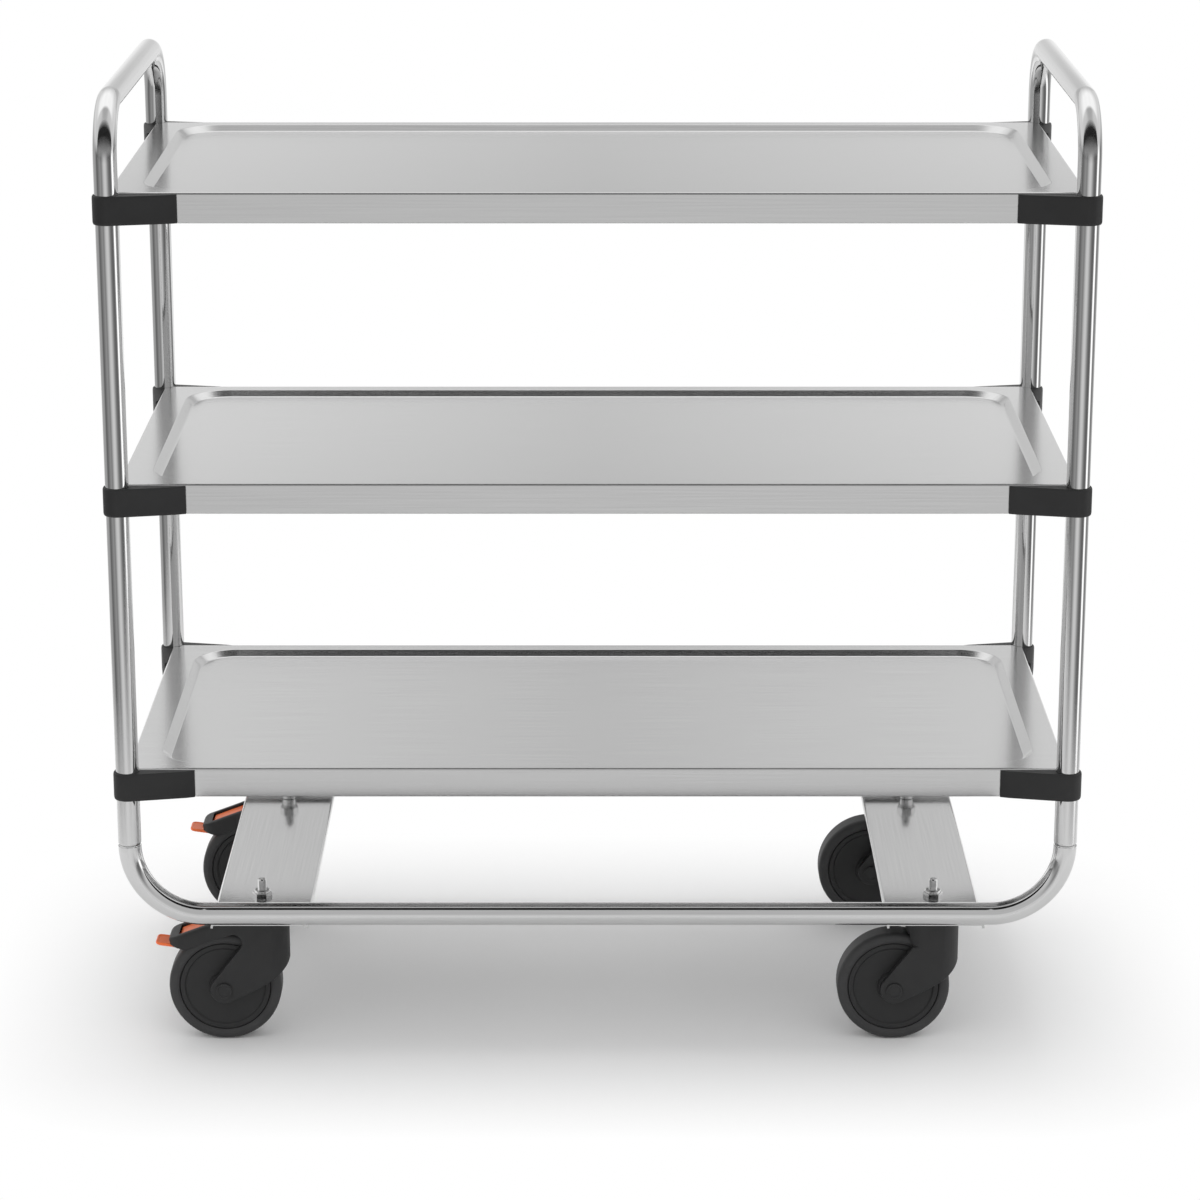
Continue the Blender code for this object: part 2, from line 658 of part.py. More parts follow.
def hood():
    """The moulded hood over the tyre that holds a brake pedal."""
    half = HOOD_WIDTH / 2
    bend_share = (HOOD_RIM_START - HOOD_TAPER_START) / (HOOD_TAPER_END - HOOD_TAPER_START)
    bend_half = FORK_HALF + bend_share * (half - FORK_HALF)
    whole = loft([
        hood_section(0, FORK_HALF),
        hood_section(-HOOD_TAPER_START, FORK_HALF),
        hood_section(-HOOD_RIM_START, bend_half),
        hood_section(-HOOD_TAPER_END, half),
        hood_section(-HOOD_REACH - HOOD_CORNER_RADIUS, half),
    ])
    bend = HOOD_REACH - HOOD_NOSE_RADIUS
    nose_centre = (-bend, rim_height(-bend) - HOOD_NOSE_RADIUS / math.cos(HOOD_SLOPE))
    nose = arc(nose_centre, HOOD_NOSE_RADIUS, 90 + math.degrees(HOOD_SLOPE), 180, CORNER_STEPS)
    side = [
        (-CROWN_STRETCH, 2 * FORK_TOP),
        (nose[0][0], 2 * FORK_TOP),
        *nose,
        (-HOOD_REACH, FORK_TOP - HOOD_NOSE_DEPTH),
        (-HOOD_HEEL_REACH, FORK_TOP - HOOD_HEEL_DEPTH),
        (-HOOD_ROOT_REACH, FORK_TOP - HOOD_ROOT_DEPTH),
        (-CROWN_STRETCH, FORK_TOP - HOOD_ROOT_DEPTH),
    ]
    made = boolean(whole, prism(side, "Y", -HOOD_WIDTH, HOOD_WIDTH), "INTERSECT")
    corner = HOOD_CORNER_RADIUS
    plan = [(FORK_HALF, HOOD_WIDTH), (corner - HOOD_REACH, HOOD_WIDTH)]
    plan += arc((corner - HOOD_REACH, half - corner), corner, 90, 180, CORNER_STEPS)
    plan += [(x, -y) for x, y in reversed(plan)]
    return boolean(made, prism(plan, "Z", -AXLE_HEIGHT, 2 * FORK_TOP), "INTERSECT")


def cut_brake(made):
    """Cuts the hood's fillet, the pedal's pocket, its window under the end wall and the pin's bore."""
    half = PEDAL_WIDTH / 2 + PEDAL_SIDE_GAP
    mouth = HOOD_REACH - HOOD_END_WALL
    foot = HOOD_REACH - HOOD_END_FOOT
    window = FORK_TOP - WINDOW_DEPTH
    pocket = [
        (-POCKET_ROOT_REACH, AXLE_HEIGHT),
        (-POCKET_ROOT_REACH, 2 * FORK_TOP),
        (-mouth, 2 * FORK_TOP),
        (-mouth, rim_height(-mouth)),
        (-foot, window),
        (-foot, AXLE_HEIGHT),
    ]
    way_out = box((-HOOD_REACH - HOOD_CORNER_RADIUS, -half, AXLE_HEIGHT), (-mouth, half, window))
    pin = (-PIN_REACH, PIN_HEIGHT)
    bore_half = PIN_HALF + SEAT_GAP
    bore = cylinder(pin, PIN_RADIUS + SEAT_GAP, "Y", -bore_half, bore_half, SMALL_STEPS)
    round_centre = hood_fillet()[0]
    fillet = cylinder(round_centre, HOOD_FILLET_RADIUS, "Y", -2 * FORK_HALF, 2 * FORK_HALF, SLOT_STEPS)
    for cutter in (fillet, prism(pocket, "Y", -half, half), way_out, bore):
        made = boolean(made, cutter, "DIFFERENCE")
    return made


def fork(braked):
    made = fork_body(braked)
    if braked:
        made = boolean(made, hood(), "UNION")
    axle = (-CASTER_TRAIL, AXLE_HEIGHT)
    head = BOLT_HEAD_RADIUS + RUNNING_GAP
    cutters = [
        cylinder(axle, SLOT_RADIUS, "Y", -SLOT_HALF, SLOT_HALF, SLOT_STEPS),
        cylinder((0, 0), head, "Z", AXLE_HEIGHT, BOLT_SEAT, SMALL_STEPS),
        cylinder((0, 0), BOLT_RADIUS + RUNNING_GAP, "Z", AXLE_HEIGHT, 2 * FORK_TOP, SMALL_STEPS),
        cylinder(axle, AXLE_RADIUS + SEAT_GAP, "Y", -2 * FORK_HALF, 2 * FORK_HALF, SMALL_STEPS),
    ]
    for cutter in cutters:
        made = boolean(made, cutter, "DIFFERENCE")
    return cut_brake(made) if braked else made


def tyre():
    bead = WHEEL_RADIUS - TYRE_DEPTH
    half = (
        (bead, TYRE_BEAD_WIDTH / 2),
        (WHEEL_RADIUS - TYRE_BELLY_DEPTH, WHEEL_WIDTH / 2),
        (WHEEL_RADIUS - TYRE_SHOULDER_DEPTH, TYRE_SHOULDER_WIDTH / 2),
        (WHEEL_RADIUS, TYRE_TREAD_WIDTH / 2),
    )
    return turned([*half, *((r, -y) for r, y in reversed(half))], "Y", WHEEL_STEPS)


def wheel_core():
    rim = WHEEL_RADIUS - TYRE_DEPTH - SEAT_GAP
    step = rim - CORE_RIM_DEPTH
    fillet = (CORE_RIM_WIDTH - CORE_WEB_WIDTH) / 2
    half = (
        (AXLE_RADIUS + RUNNING_GAP, SLOT_HALF - RUNNING_GAP),
        (HUB_RADIUS, SLOT_HALF - RUNNING_GAP),
        (HUB_RADIUS + fillet, CORE_WEB_WIDTH / 2),
        (step - fillet, CORE_WEB_WIDTH / 2),
        (step, CORE_RIM_WIDTH / 2),
        (rim, CORE_RIM_WIDTH / 2),
    )
    return turned([*half, *((r, -y) for r, y in reversed(half))], "Y", WHEEL_STEPS)


def axle():
    """A riveted axle with a domed head outside each leg."""
    seat = FORK_HALF + SEAT_GAP
    end = seat + AXLE_HEAD_THICKNESS
    half = (
        (0, end),
        (AXLE_HEAD_RADIUS - AXLE_HEAD_CHAMFER, end),
        (AXLE_HEAD_RADIUS, end - AXLE_HEAD_CHAMFER),
        (AXLE_HEAD_RADIUS, seat),
        (AXLE_RADIUS, seat),
    )
    return turned([*half, *((r, -y) for r, y in reversed(half))], "Y", SMALL_STEPS)


def king_bolt():
    profile = (
        (0, BOLT_TOP),
        (BOLT_RADIUS - BOLT_TIP_CHAMFER, BOLT_TOP),
        (BOLT_RADIUS, BOLT_TOP - BOLT_TIP_CHAMFER),
        (BOLT_RADIUS, BOLT_SEAT - RUNNING_GAP),
        (BOLT_HEAD_RADIUS, BOLT_SEAT - RUNNING_GAP),
        (BOLT_HEAD_RADIUS, BOLT_HEAD_LOW),
        (0, BOLT_HEAD_LOW),
    )
    return turned(profile, "Z", SMALL_STEPS)


def swivel_race():
    bore = BOLT_RADIUS + SEAT_GAP
    high = RACE_LOW + RACE_THICKNESS
    profile = ((bore, RACE_LOW), (bore, high), (RACE_RADIUS, high), (RACE_RADIUS, RACE_LOW))
    return turned(profile, "Z", SMALL_STEPS)


def washer():
    """A washer on a round spacer, in one piece."""
    bore = BOLT_RADIUS + SEAT_GAP
    step = WASHER_LOW + SPACER_HEIGHT
    high = step + WASHER_THICKNESS
    profile = (
        (bore, WASHER_LOW),
        (bore, high),
        (WASHER_RADIUS, high),
        (WASHER_RADIUS, step),
        (SPACER_RADIUS, step),
        (SPACER_RADIUS, WASHER_LOW),
    )
    return turned(profile, "Z", SMALL_STEPS)


def lock_nut():
    """A hexagon with broken corners and the round collar that holds the locking insert."""
    corner = NUT_ACROSS_FLATS / math.sqrt(3)
    flat = NUT_ACROSS_FLATS / 2
    hex_top = NUT_LOW + NUT_HEX_HEIGHT
    top = hex_top + NUT_COLLAR_HEIGHT
    edge = NUT_CORNER_BREAK
    bore = BOLT_RADIUS + SEAT_GAP
    layers = (
        (NUT_LOW, flat, flat),
        (NUT_LOW + edge, corner, flat),
        (hex_top - edge, corner, flat),
        (hex_top, flat, flat),
        (hex_top, NUT_COLLAR_RADIUS, NUT_COLLAR_RADIUS),
        (top, NUT_COLLAR_RADIUS - edge, NUT_COLLAR_RADIUS - edge),
        (top, bore, bore),
        (NUT_LOW, bore, bore),
    )
    bm = bmesh.new()
    rings = []
    for height, on_corner, on_flat in layers:
        turns = [(math.tau * i / NUT_STEPS, on_flat if i % 2 else on_corner) for i in range(NUT_STEPS)]
        rings.append([bm.verts.new((r * math.cos(a), r * math.sin(a), height)) for a, r in turns])
    close_ladder(bm, rings)
    return bm


def about_pin(points):
    """Points given about the swivel axis, moved to the pedal's own origin on its pin."""
    return [(x + PIN_REACH, z - PIN_HEIGHT) for x, z in points]


def pedal_low(x):
    return rim_height(x) - PEDAL_SINK - PEDAL_THICKNESS


def pedal():
    """The pedal: a plate in the hood's pocket, a web down its end and the rising tip for the foot."""
    plate_end = -(HOOD_REACH - HOOD_END_WALL - PEDAL_END_GAP)
    plate_top = rim_height(plate_end) - PEDAL_SINK
    left = -(HOOD_REACH - HOOD_END_FOOT - PEDAL_END_GAP)
    tip_high = FORK_TOP - PEDAL_TIP_DEPTH
    slant = math.atan2(plate_end - left, plate_top - tip_high)
    web = PEDAL_THICKNESS / math.cos(slant)
    inner = left + web
    nose = PEDAL_THICKNESS / 2
    tilt = math.degrees(PEDAL_TIP_RISE)
    middles = []
    for x in (nose - PEDAL_REACH, inner - nose):
        rise = (left - x) * math.tan(PEDAL_TIP_RISE)
        middles.append((x, tip_high + rise - nose / math.cos(PEDAL_TIP_RISE)))
    side = [
        (-PIN_REACH, rim_height(-PIN_REACH) - PEDAL_SINK),
        (plate_end, plate_top),
        (left, tip_high),
        *arc(middles[0], nose, 90 - tilt, 270 - tilt, CORNER_STEPS),
        *arc(middles[1], nose, 270 - tilt, 360 - math.degrees(slant), CORNER_STEPS),
        (plate_end + web, pedal_low(plate_end + web)),
        (-PIN_REACH, pedal_low(-PIN_REACH)),
    ]
    half = PEDAL_WIDTH / 2
    corner = PEDAL_TIP_RADIUS
    plan = [(0, -half), (0, half)]
    plan += arc((corner - PEDAL_REACH + PIN_REACH, half - corner), corner, 90, 180, CORNER_STEPS)
    plan += arc((corner - PEDAL_REACH + PIN_REACH, corner - half), corner, 180, 270, CORNER_STEPS)
    made = prism(about_pin(side), "Y", -PEDAL_WIDTH, PEDAL_WIDTH)
    made = boolean(made, prism(plan, "Z", -FORK_TOP, FORK_TOP), "INTERSECT")
    hub = cylinder((0, 0), PEDAL_HUB_RADIUS, "Y", -half, half, SMALL_STEPS)
    made = boolean(made, hub, "UNION")
    bore = cylinder((0, 0), PIN_RADIUS + RUNNING_GAP, "Y", -PEDAL_WIDTH, PEDAL_WIDTH, SMALL_STEPS)
    return boolean(made, bore, "DIFFERENCE")


def brake_shoe():
    """The block under the pedal whose lower face lies round the tyre when the pedal is down."""
    axle_x = PIN_REACH - CASTER_TRAIL
    axle_z = AXLE_HEIGHT - PIN_HEIGHT
    cos, sin = math.cos(PEDAL_TRAVEL), math.sin(PEDAL_TRAVEL)
    centre = (axle_x * cos + axle_z * sin, axle_z * cos - axle_x * sin)
    radius = WHEEL_RADIUS + SHOE_TYRE_GAP
    ends = [math.degrees(math.acos((-reach - centre[0]) / radius)) for reach in (SHOE_END, SHOE_START)]
    top = about_pin([(x, pedal_low(x) - SEAT_GAP) for x in (-SHOE_START - PIN_REACH, -SHOE_END - PIN_REACH)])
    side = [*top, *arc(centre, radius, ends[0], ends[1], CORNER_STEPS)]
    return prism(side, "Y", -SHOE_WIDTH / 2, SHOE_WIDTH / 2)


def add_caster(corner, finishes):
    sx, sy = CORNERS[corner]
    braked = sx < 0
    swivel = pivot(f"{corner}_swivel", (sx * CASTER_SPAN_X / 2, sy * CASTER_SPAN_Y / 2, 0))
    spin = pivot(f"{corner}_spin", (-CASTER_TRAIL, 0, AXLE_HEIGHT), swivel)
    add(f"{corner}_fork", fork(braked), finishes["caster_plastic"], swivel)
    add(f"{corner}_king_bolt", king_bolt(), finishes["fastener_steel"], swivel)
    add(f"{corner}_swivel_race", swivel_race(), finishes["fastener_steel"], swivel)
    add(f"{corner}_washer", washer(), finishes["fastener_steel"], swivel)
    add(f"{corner}_lock_nut", lock_nut(), finishes["fastener_steel"], swivel)
    add(f"{corner}_axle", axle(), finishes["axle_cap"], spin)
    add(f"{corner}_tyre", tyre(), finishes["tyre_rubber"], spin)
    add(f"{corner}_wheel_core", wheel_core(), finishes["wheel_plastic"], spin)
    if braked:
        hinge = pivot(f"{corner}_pedal_hinge", (-PIN_REACH, 0, PIN_HEIGHT), swivel)
        pin = cylinder((0, 0), PIN_RADIUS, "Y", -PIN_HALF, PIN_HALF, SMALL_STEPS)
        add(f"{corner}_pedal_pin", pin, finishes["fastener_steel"], hinge)
        add(f"{corner}_brake_pedal", pedal(), finishes["brake_orange"], hinge)
        add(f"{corner}_brake_shoe", brake_shoe(), finishes["tyre_rubber"], hinge)


def build_trolley():
    for obj in list(bpy.data.objects):
        bpy.data.objects.remove(obj)
    finishes = {
        "tube_steel": material("tube_steel", (0.62, 0.62, 0.62), 0.18, 1),
        "shelf_steel": material("shelf_steel", (0.55, 0.55, 0.55), 0.35, 1),
        "bracket_plastic": material("bracket_plastic", (0.03, 0.03, 0.031), 0.5, 0),
        "caster_plastic": material("caster_plastic", (0.034, 0.034, 0.035), 0.5, 0),
        "wheel_plastic": material("wheel_plastic", (0.03, 0.03, 0.031), 0.5, 0),
        "axle_cap": material("axle_cap", (0.034, 0.034, 0.035), 0.45, 0),
        "tyre_rubber": material("tyre_rubber", (0.055, 0.055, 0.056), 0.7, 0),
        "brake_orange": material("brake_orange", (0.60, 0.13, 0.03), 0.4, 0),
        "fastener_steel": material("fastener_steel", (0.55, 0.55, 0.54), 0.25, 1),
    }
    for side, sx in (("left", -1), ("right", 1)):
        add(f"{side}_handle_frame", handle_frame(sx * POST_SPAN_X / 2), finishes["tube_steel"])
        add(f"{side}_cross_beam", cross_beam(sx * CASTER_SPAN_X / 2), finishes["shelf_steel"])
    for side, sy in (("front", -1), ("rear", 1)):
        add(f"{side}_lower_rail", lower_rail(sy * POST_SPAN_Y / 2), finishes["tube_steel"])
    for level, height in SHELF_HEIGHTS.items():
        add(f"{level}_shelf", shelf(height), finishes["shelf_steel"])
        for corner in CORNERS:
            add(f"{level}_bracket_{corner}", bracket(corner, height), finishes["bracket_plastic"])
    for corner in CORNERS:
        add_caster(corner, finishes)


build_trolley()
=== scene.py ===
"""Looks of the food service trolley.

A finer mesh of the same form stands for each CAD node, in the same place and with its own finish.
Sizes are in metres and repeat the values of the CAD source.
"""

import json
import math

import bmesh
import bpy
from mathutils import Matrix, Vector


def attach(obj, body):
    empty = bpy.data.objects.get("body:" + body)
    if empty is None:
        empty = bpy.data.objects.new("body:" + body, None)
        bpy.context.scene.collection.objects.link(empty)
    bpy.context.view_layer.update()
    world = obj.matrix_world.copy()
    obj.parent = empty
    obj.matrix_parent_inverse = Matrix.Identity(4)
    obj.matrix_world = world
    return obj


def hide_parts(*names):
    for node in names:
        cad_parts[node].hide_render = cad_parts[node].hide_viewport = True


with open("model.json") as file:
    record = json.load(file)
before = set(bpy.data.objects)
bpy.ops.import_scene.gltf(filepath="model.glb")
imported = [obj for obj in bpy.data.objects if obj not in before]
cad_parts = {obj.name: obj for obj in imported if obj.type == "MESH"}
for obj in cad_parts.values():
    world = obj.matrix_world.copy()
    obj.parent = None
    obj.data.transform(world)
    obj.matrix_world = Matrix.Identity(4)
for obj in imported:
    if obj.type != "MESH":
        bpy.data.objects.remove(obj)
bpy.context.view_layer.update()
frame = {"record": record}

# Clearances
SEAT_GAP = 0.0003
RUNNING_GAP = 0.0003

# Tube frame
POST_X = 1.020 / 2
POST_Y = 0.470 / 2
OVERALL_HEIGHT = 1.0625
TUBE_RADIUS = 0.0125
HANDLE_BEND_RADIUS = 0.058
RAIL_BEND_RADIUS = 0.080
RAIL_AXIS_HEIGHT = 0.161968
JOINT_HEIGHT = 0.243468
TUBE_END_TAPER = 0.0026
TUBE_END_DRAW = 0.0009

# Pressed shelves
SHELF_HEIGHTS = {"top": 0.9595, "middle": 0.646668, "bottom": 0.328268}
SHELF_INSET_Y = 0.004
SHELF_SHEET = 0.0012
SHELF_SKIRT = 0.0325
SHELF_LIP = 0.009
SHELF_EDGE_RADIUS = 0.0025
SHELF_LIP_RADIUS = 0.0015
SHELF_CORNER_RADIUS = 0.003
RECESS_RIM_X = 0.0315
RECESS_RIM_Y = 0.0185
RECESS_DEPTH = 0.007
RECESS_WALL_RUN = 0.008
RECESS_CORNER_RADIUS = 0.050
RECESS_EDGE_RADIUS = 0.0022
RECESS_FLOOR_RADIUS = 0.004

# Corner brackets
BRACKET_WALL = 0.0023
BRACKET_REACH = 0.0725
BRACKET_WING_END = 0.003
BRACKET_FACET_LENGTH = 0.009
BRACKET_FACET_RISE = 0.0032
BRACKET_DROP = 0.0015
BRACKET_HEIGHT = 0.0305
BRACKET_EDGE_INSET = 0.0012
BRACKET_EDGE_RISE = 0.0035
BRACKET_SOFTENING = 0.0006
BRACKET_SOFT_ANGLE = math.radians(50)

# Cross beams
BEAM_TOP = 0.149168
BEAM_WIDTH = 0.107
BEAM_SHEET = 0.0025
BEAM_FLANGE = 0.0055
BEAM_BEND_RADIUS = 0.0036
BEAM_END_INSET = 0.002

# Wheels
CASTER_X = 0.743 / 2
CASTER_Y = 0.374 / 2
CASTER_TRAIL = 0.0425
WHEEL_RADIUS = 0.0625
WHEEL_TOP_GAP = 0.003
SLOT_HALF = 0.018
TYRE_BEAD = (0.051, 0.0141)
TYRE_BELLY_HALF = 0.0166
TYRE_SHOULDER = (0.0606, 0.0146)
TYRE_TREAD_HALF = 0.009
TYRE_SIDE_PULLS = (0.0022, 0.0026)
TYRE_CROWN_PULL = (0.0006, 0.0014)
TYRE_TREAD_PULL = 0.0022
CORE_RIM_RADIUS = 0.0507
CORE_RIM_HALF = 0.0142
CORE_STEP_RADIUS = 0.0452
CORE_WEB_HALF = 0.0125
CORE_RIM_CHAMFER = (0.0009, 0.0014)
CORE_ROUNDING = 0.0008
HUB_RADIUS = 0.0165
AXLE_RADIUS = 0.005
AXLE_HEAD_RADIUS = 0.009
AXLE_HEAD_THICKNESS = 0.0022
AXLE_DISH_RADIUS = 0.0064
AXLE_DISH_DEPTH = 0.0007
AXLE_ROUNDING = 0.0006

# Forks
FORK_TOP = 0.144168
FORK_HALF = 0.027
CROWN_RADIUS = 0.0294
CROWN_STRETCH = 0.0031
CROWN_DEPTH = 0.0502
CROWN_BACK_DEPTH = 0.0082
SHOULDER_SETBACK = 0.010
SHOULDER_DEPTH = 0.0305
BOSS_RADIUS = 0.0155
FORK_CURVE_DROP = 0.0112
FORK_CURVE_RUN = 0.040
FORK_TOE_SLOPE = math.radians(24)
FORK_BORE_ROOM = 0.0008

# Swivel bolts
BOLT_RADIUS = 0.005
BOLT_BORE_RADIUS = BOLT_RADIUS + SEAT_GAP
BOLT_HEAD_RADIUS = 0.010
BOLT_HEAD_LOW = 0.119368
BOLT_SEAT = 0.125168
BOLT_TOP = 0.184768
BOLT_TIP_CHAMFER = 0.0014
BOLT_ROUNDING = 0.0005
THREAD_PITCH = 0.0015
THREAD_DEPTH = 0.0007
SOCKET_RADIUS = 0.0019
SOCKET_DEPTH = 0.0012
SOCKET_FLARE = 0.0003
RACE_LOW = 0.144468
RACE_RADIUS = 0.022
RACE_THICKNESS = 0.0019
WASHER_LOW = 0.149468
SPACER_RADIUS = 0.0078
SPACER_HEIGHT = 0.008
WASHER_RADIUS = 0.0088
WASHER_THICKNESS = 0.002
RING_ROUNDING = 0.0004
NUT_LOW = 0.159768
NUT_SIDES = 6
NUT_ACROSS_FLATS = 0.019
NUT_HEX_HEIGHT = 0.010
NUT_COLLAR_RADIUS = 0.0088
NUT_COLLAR_HEIGHT = 0.0025
NUT_CORNER_BREAK = 0.0008
NUT_FACE_BREAK = 0.0002
NUT_SOFTENING = 0.0003
NUT_SOFT_ANGLE = math.radians(28)

# Brakes
HOOD_WIDTH = 0.045
HOOD_REACH = 0.104
HOOD_CORNER_RADIUS = 0.014
HOOD_RIM_DROP = 0.0012
HOOD_RIM_START = 0.044
HOOD_SLOPE = math.radians(20.5)
HOOD_EDGE_RADIUS = 0.004
HOOD_NOSE_RADIUS = 0.006
HOOD_NOSE_DEPTH = 0.031
HOOD_HEEL_REACH = 0.086
HOOD_HEEL_DEPTH = 0.036
HOOD_ROOT_REACH = 0.027
HOOD_ROOT_DEPTH = 0.014
HOOD_END_WALL = 0.0125
HOOD_END_FOOT = 0.0055
HOOD_FILLET_RADIUS = 0.0097
HOOD_TAPER_START = 0.034
HOOD_TAPER_END = 0.062
POCKET_ROOT_REACH = 0.050
WINDOW_DEPTH = 0.029
PEDAL_WIDTH = 0.027
PEDAL_SIDE_GAP = 0.0007
PEDAL_THICKNESS = 0.0034
PEDAL_SINK = 0.003
PEDAL_END_GAP = 0.0013
PEDAL_REACH = 0.119
PEDAL_TIP_DEPTH = 0.0322
PEDAL_TIP_RISE = math.radians(8)
PEDAL_TIP_RADIUS = 0.0065
PEDAL_DISH_DEPTH = 0.0007
PEDAL_DISH_RIM = 0.0024
PEDAL_HUB_RADIUS = 0.0046
PEDAL_TRAVEL = math.radians(8)
PIN_RADIUS = 0.0025
PIN_REACH = 0.056
PIN_HEIGHT = 0.130368
PIN_HALF = 0.019
PIN_ROUNDING = 0.0005
SHOE_WIDTH = 0.022
SHOE_START = 0.007
SHOE_END = 0.022
SHOE_TYRE_GAP = 0.0004

# Mesh steps and tolerances
TUBE_SIDES = 48
BEND_STEPS = 28
CORNER_STEPS = 14
FILLET_STEPS = 5
TURN_STEPS = 96
SMALL_TURN_STEPS = 48
CURVE_STEPS = 24
TYRE_SIDE_STEPS = 10
TYRE_CROWN_STEPS = 8
BEVEL_STEPS = 2
FILLET_ROOM = 0.45
FILLET_PULL = 0.6
FORK_VOXEL = 0.0008
PEDAL_VOXEL = 0.0005
SOFTENING_ROUNDS = 6
SOFTENING_FACTOR = 0.5
SHARP_ANGLE = math.radians(32)
ALL_SMOOTH = math.pi
WELD_DISTANCE = 2e-6
TURN_WELD_DISTANCE = SEAT_GAP / 100

# Steels: dark and light grey, roughness, grain as (stretch across, scale), bump and anisotropy
STEELS = {
    "sheet_steel": (0.55, 0.60, (0.18, 0.23), (70, 7), 0.07, 0.3),
    "beam_steel": (0.53, 0.57, (0.12, 0.16), (90, 7), 0.03, 0.5),
    "tube_steel": (0.62, 0.66, (0.05, 0.09), (40, 12), 0.02, 0.0),
    "fastener_steel": (0.66, 0.76, (0.10, 0.18), (4, 300), 0.05, 0.0),
}
GRAIN_TURN = 0.25
STREAK_DETAIL = 5
STREAK_RELIEF = 0.0002
STEEL_CLOUD_SCALE = 6
STEEL_CLOUD_SHARE = 0.03

# Plastic and rubber: dark and light grey and a paler grey painted on convex edges as a highlight, or the
# pedals' three colours in the same order
GREYS = {
    "bracket_plastic": (0.016, 0.019, 0.034),
    "caster_plastic": (0.019, 0.023, 0.042),
    "wheel_plastic": (0.019, 0.022, 0.036),
    "axle_cap": (0.019, 0.023, 0.042),
    "tyre_rubber": (0.034, 0.041, 0.064),
    "shoe_rubber": (0.032, 0.038, 0.056),
}
GREY_BLUENESS = 1.02
GREY_ROUGHNESS = (0.48, 0.60)
GREY_TEXTURE = (1500, 0.12)
ORANGES = ((0.80, 0.150, 0.040), (0.88, 0.180, 0.050), (0.92, 0.30, 0.12))
ORANGE_ROUGHNESS = (0.36, 0.46)
ORANGE_TEXTURE = (1200, 0.06)
MOULDING_SHINE = 0.35
MOULDING_CLOUD_SCALE = 40
TEXTURE_RELIEF = 0.0003
# Pointiness span over which convex edges are painted paler, as a painted highlight
PAINTED_EDGE_HIGHLIGHT = (0.52, 0.60)
COLOUR_STOPS = (0, 0.5, 1)

# Noise textures: detail, and the narrow and the wide part of the range that is used
FINE_DETAIL = 3
COARSE_DETAIL = 2
NOISE_USUAL = (0.3, 0.7)
NOISE_RANGE = (0.2, 0.8)

# Sockets of a colour mix: factor and colours, and the result
MIX_INPUTS = (0, 6, 7)
MIX_RESULT = 2

# Camera, fitted to the photograph's frame without shift
CAMERA_PLACE = (0.0027, -4.143, 1.657)
CAMERA_PITCH = 0.28315
CAMERA_LENS = 114.1
SENSOR_WIDTH = 36

# Studio: levels of light, and those that metal mirrors by degrees from the camera's side
AMBIENT_LEVEL = 1.0
SOFTBOX_PLACE = (0, 1.1, 2.8)
SOFTBOX_SIZE = (2.6, 2.2)
SOFTBOX_POWER = 18
LOW_BANDS = (
    (-180, 0.85), (-120, 0.50), (-100, 0.50), (-78, 0.16), (-44, 0.40), (-30, 0.30),
    (-7, 0.83), (8, 0.87), (34, 0.28), (54, 0.14), (68, 0.40), (74, 1.80),
    (84, 1.80), (100, 0.20), (150, 0.70), (180, 0.85),
)
HIGH_BANDS = (
    (-180, 0.78), (-130, 1.00), (-70, 0.85), (-30, 0.65),
    (30, 0.65), (70, 0.85), (130, 1.00), (180, 0.78),
)
HIGH_RISE = (0.0, 0.2)
OVERHEAD_LEVEL = 0.58
OVERHEAD_RISE = (0.88, 0.98)
BACKLIGHT_LEVEL = 1.4
BACKLIGHT_EDGE = (0.02, 0.14)
BACKLIGHT_RISE = (0.45, 0.75)

# Panels that only reflections show, with (place, level) pairs across them or upwards
FLAG_PLACE = (0, -0.65, 1.514)
FLAG_SIZE = (3.2, 1.18)
FLAG_UPWARDS = ((0, 0), (0.15, 0.50), (0.27, 0.85), (0.37, 1), (0.57, 1), (0.81, 0.40), (1, 0))
SHADE_PLACE = (0, -0.287, 0.268)
SHADE_SIZE = (0.88, 0.050)
DARK_LEVEL = 0.01
CARD_PLACE = (0, 1.5, 0.9)
CARD_SIZE = (2.4, 1.8)
CARD_ACROSS = ((0, 0.95), (0.23, 0.95), (0.5, 0.78), (0.77, 0.95), (1, 0.95))
CARD_UPWARDS = (
    (0, 1.30), (0.24, 1.30), (0.35, 0.84), (0.52, 1.05), (0.66, 1.00), (0.76, 0.76), (1, 0.76),
)

# Floor, with how far from the trolley's plan its shadow and its mirror image fade
FLOOR_SIZE = 60
FLOOR_LEVEL = 0.91
PLAN_HALF = (0.46, 0.22, 0)
SHADOW_FADE = (0.02, 0.25)
MIRROR_FADE = (0.6, 1.4)

QUARTERS = ((1, 1), (-1, 1), (-1, -1), (1, -1))
ENDS = {"left": -1, "right": 1}
SIDES = {"front": -1, "rear": 1}
CORNERS = {f"{side}_{end}": (sx, sy) for side, sy in SIDES.items() for end, sx in ENDS.items()}
BODY_OF = {n: body for body, nodes in frame["record"]["behaviour"]["bodies"].items() for n in nodes}
SLOT_OF = {part["node"]: part["material_slot"] for part in frame["record"]["subparts"]}


# Lines


def arc(centre, radius, start, end, steps):
    """Points of a round stretch between two angles in degrees, both ends included."""
    angles = [math.radians(start + (end - start) * i / steps) for i in range(steps + 1)]
    return [(centre[0] + radius * math.cos(a), centre[1] + radius * math.sin(a)) for a in angles]


def raised(pair, axis, along):
    """A point from its place along an axis and a pair of places along the other two, in order."""
    slot = "XYZ".index(axis)
    return Vector((*pair[:slot], along, *pair[slot:]))


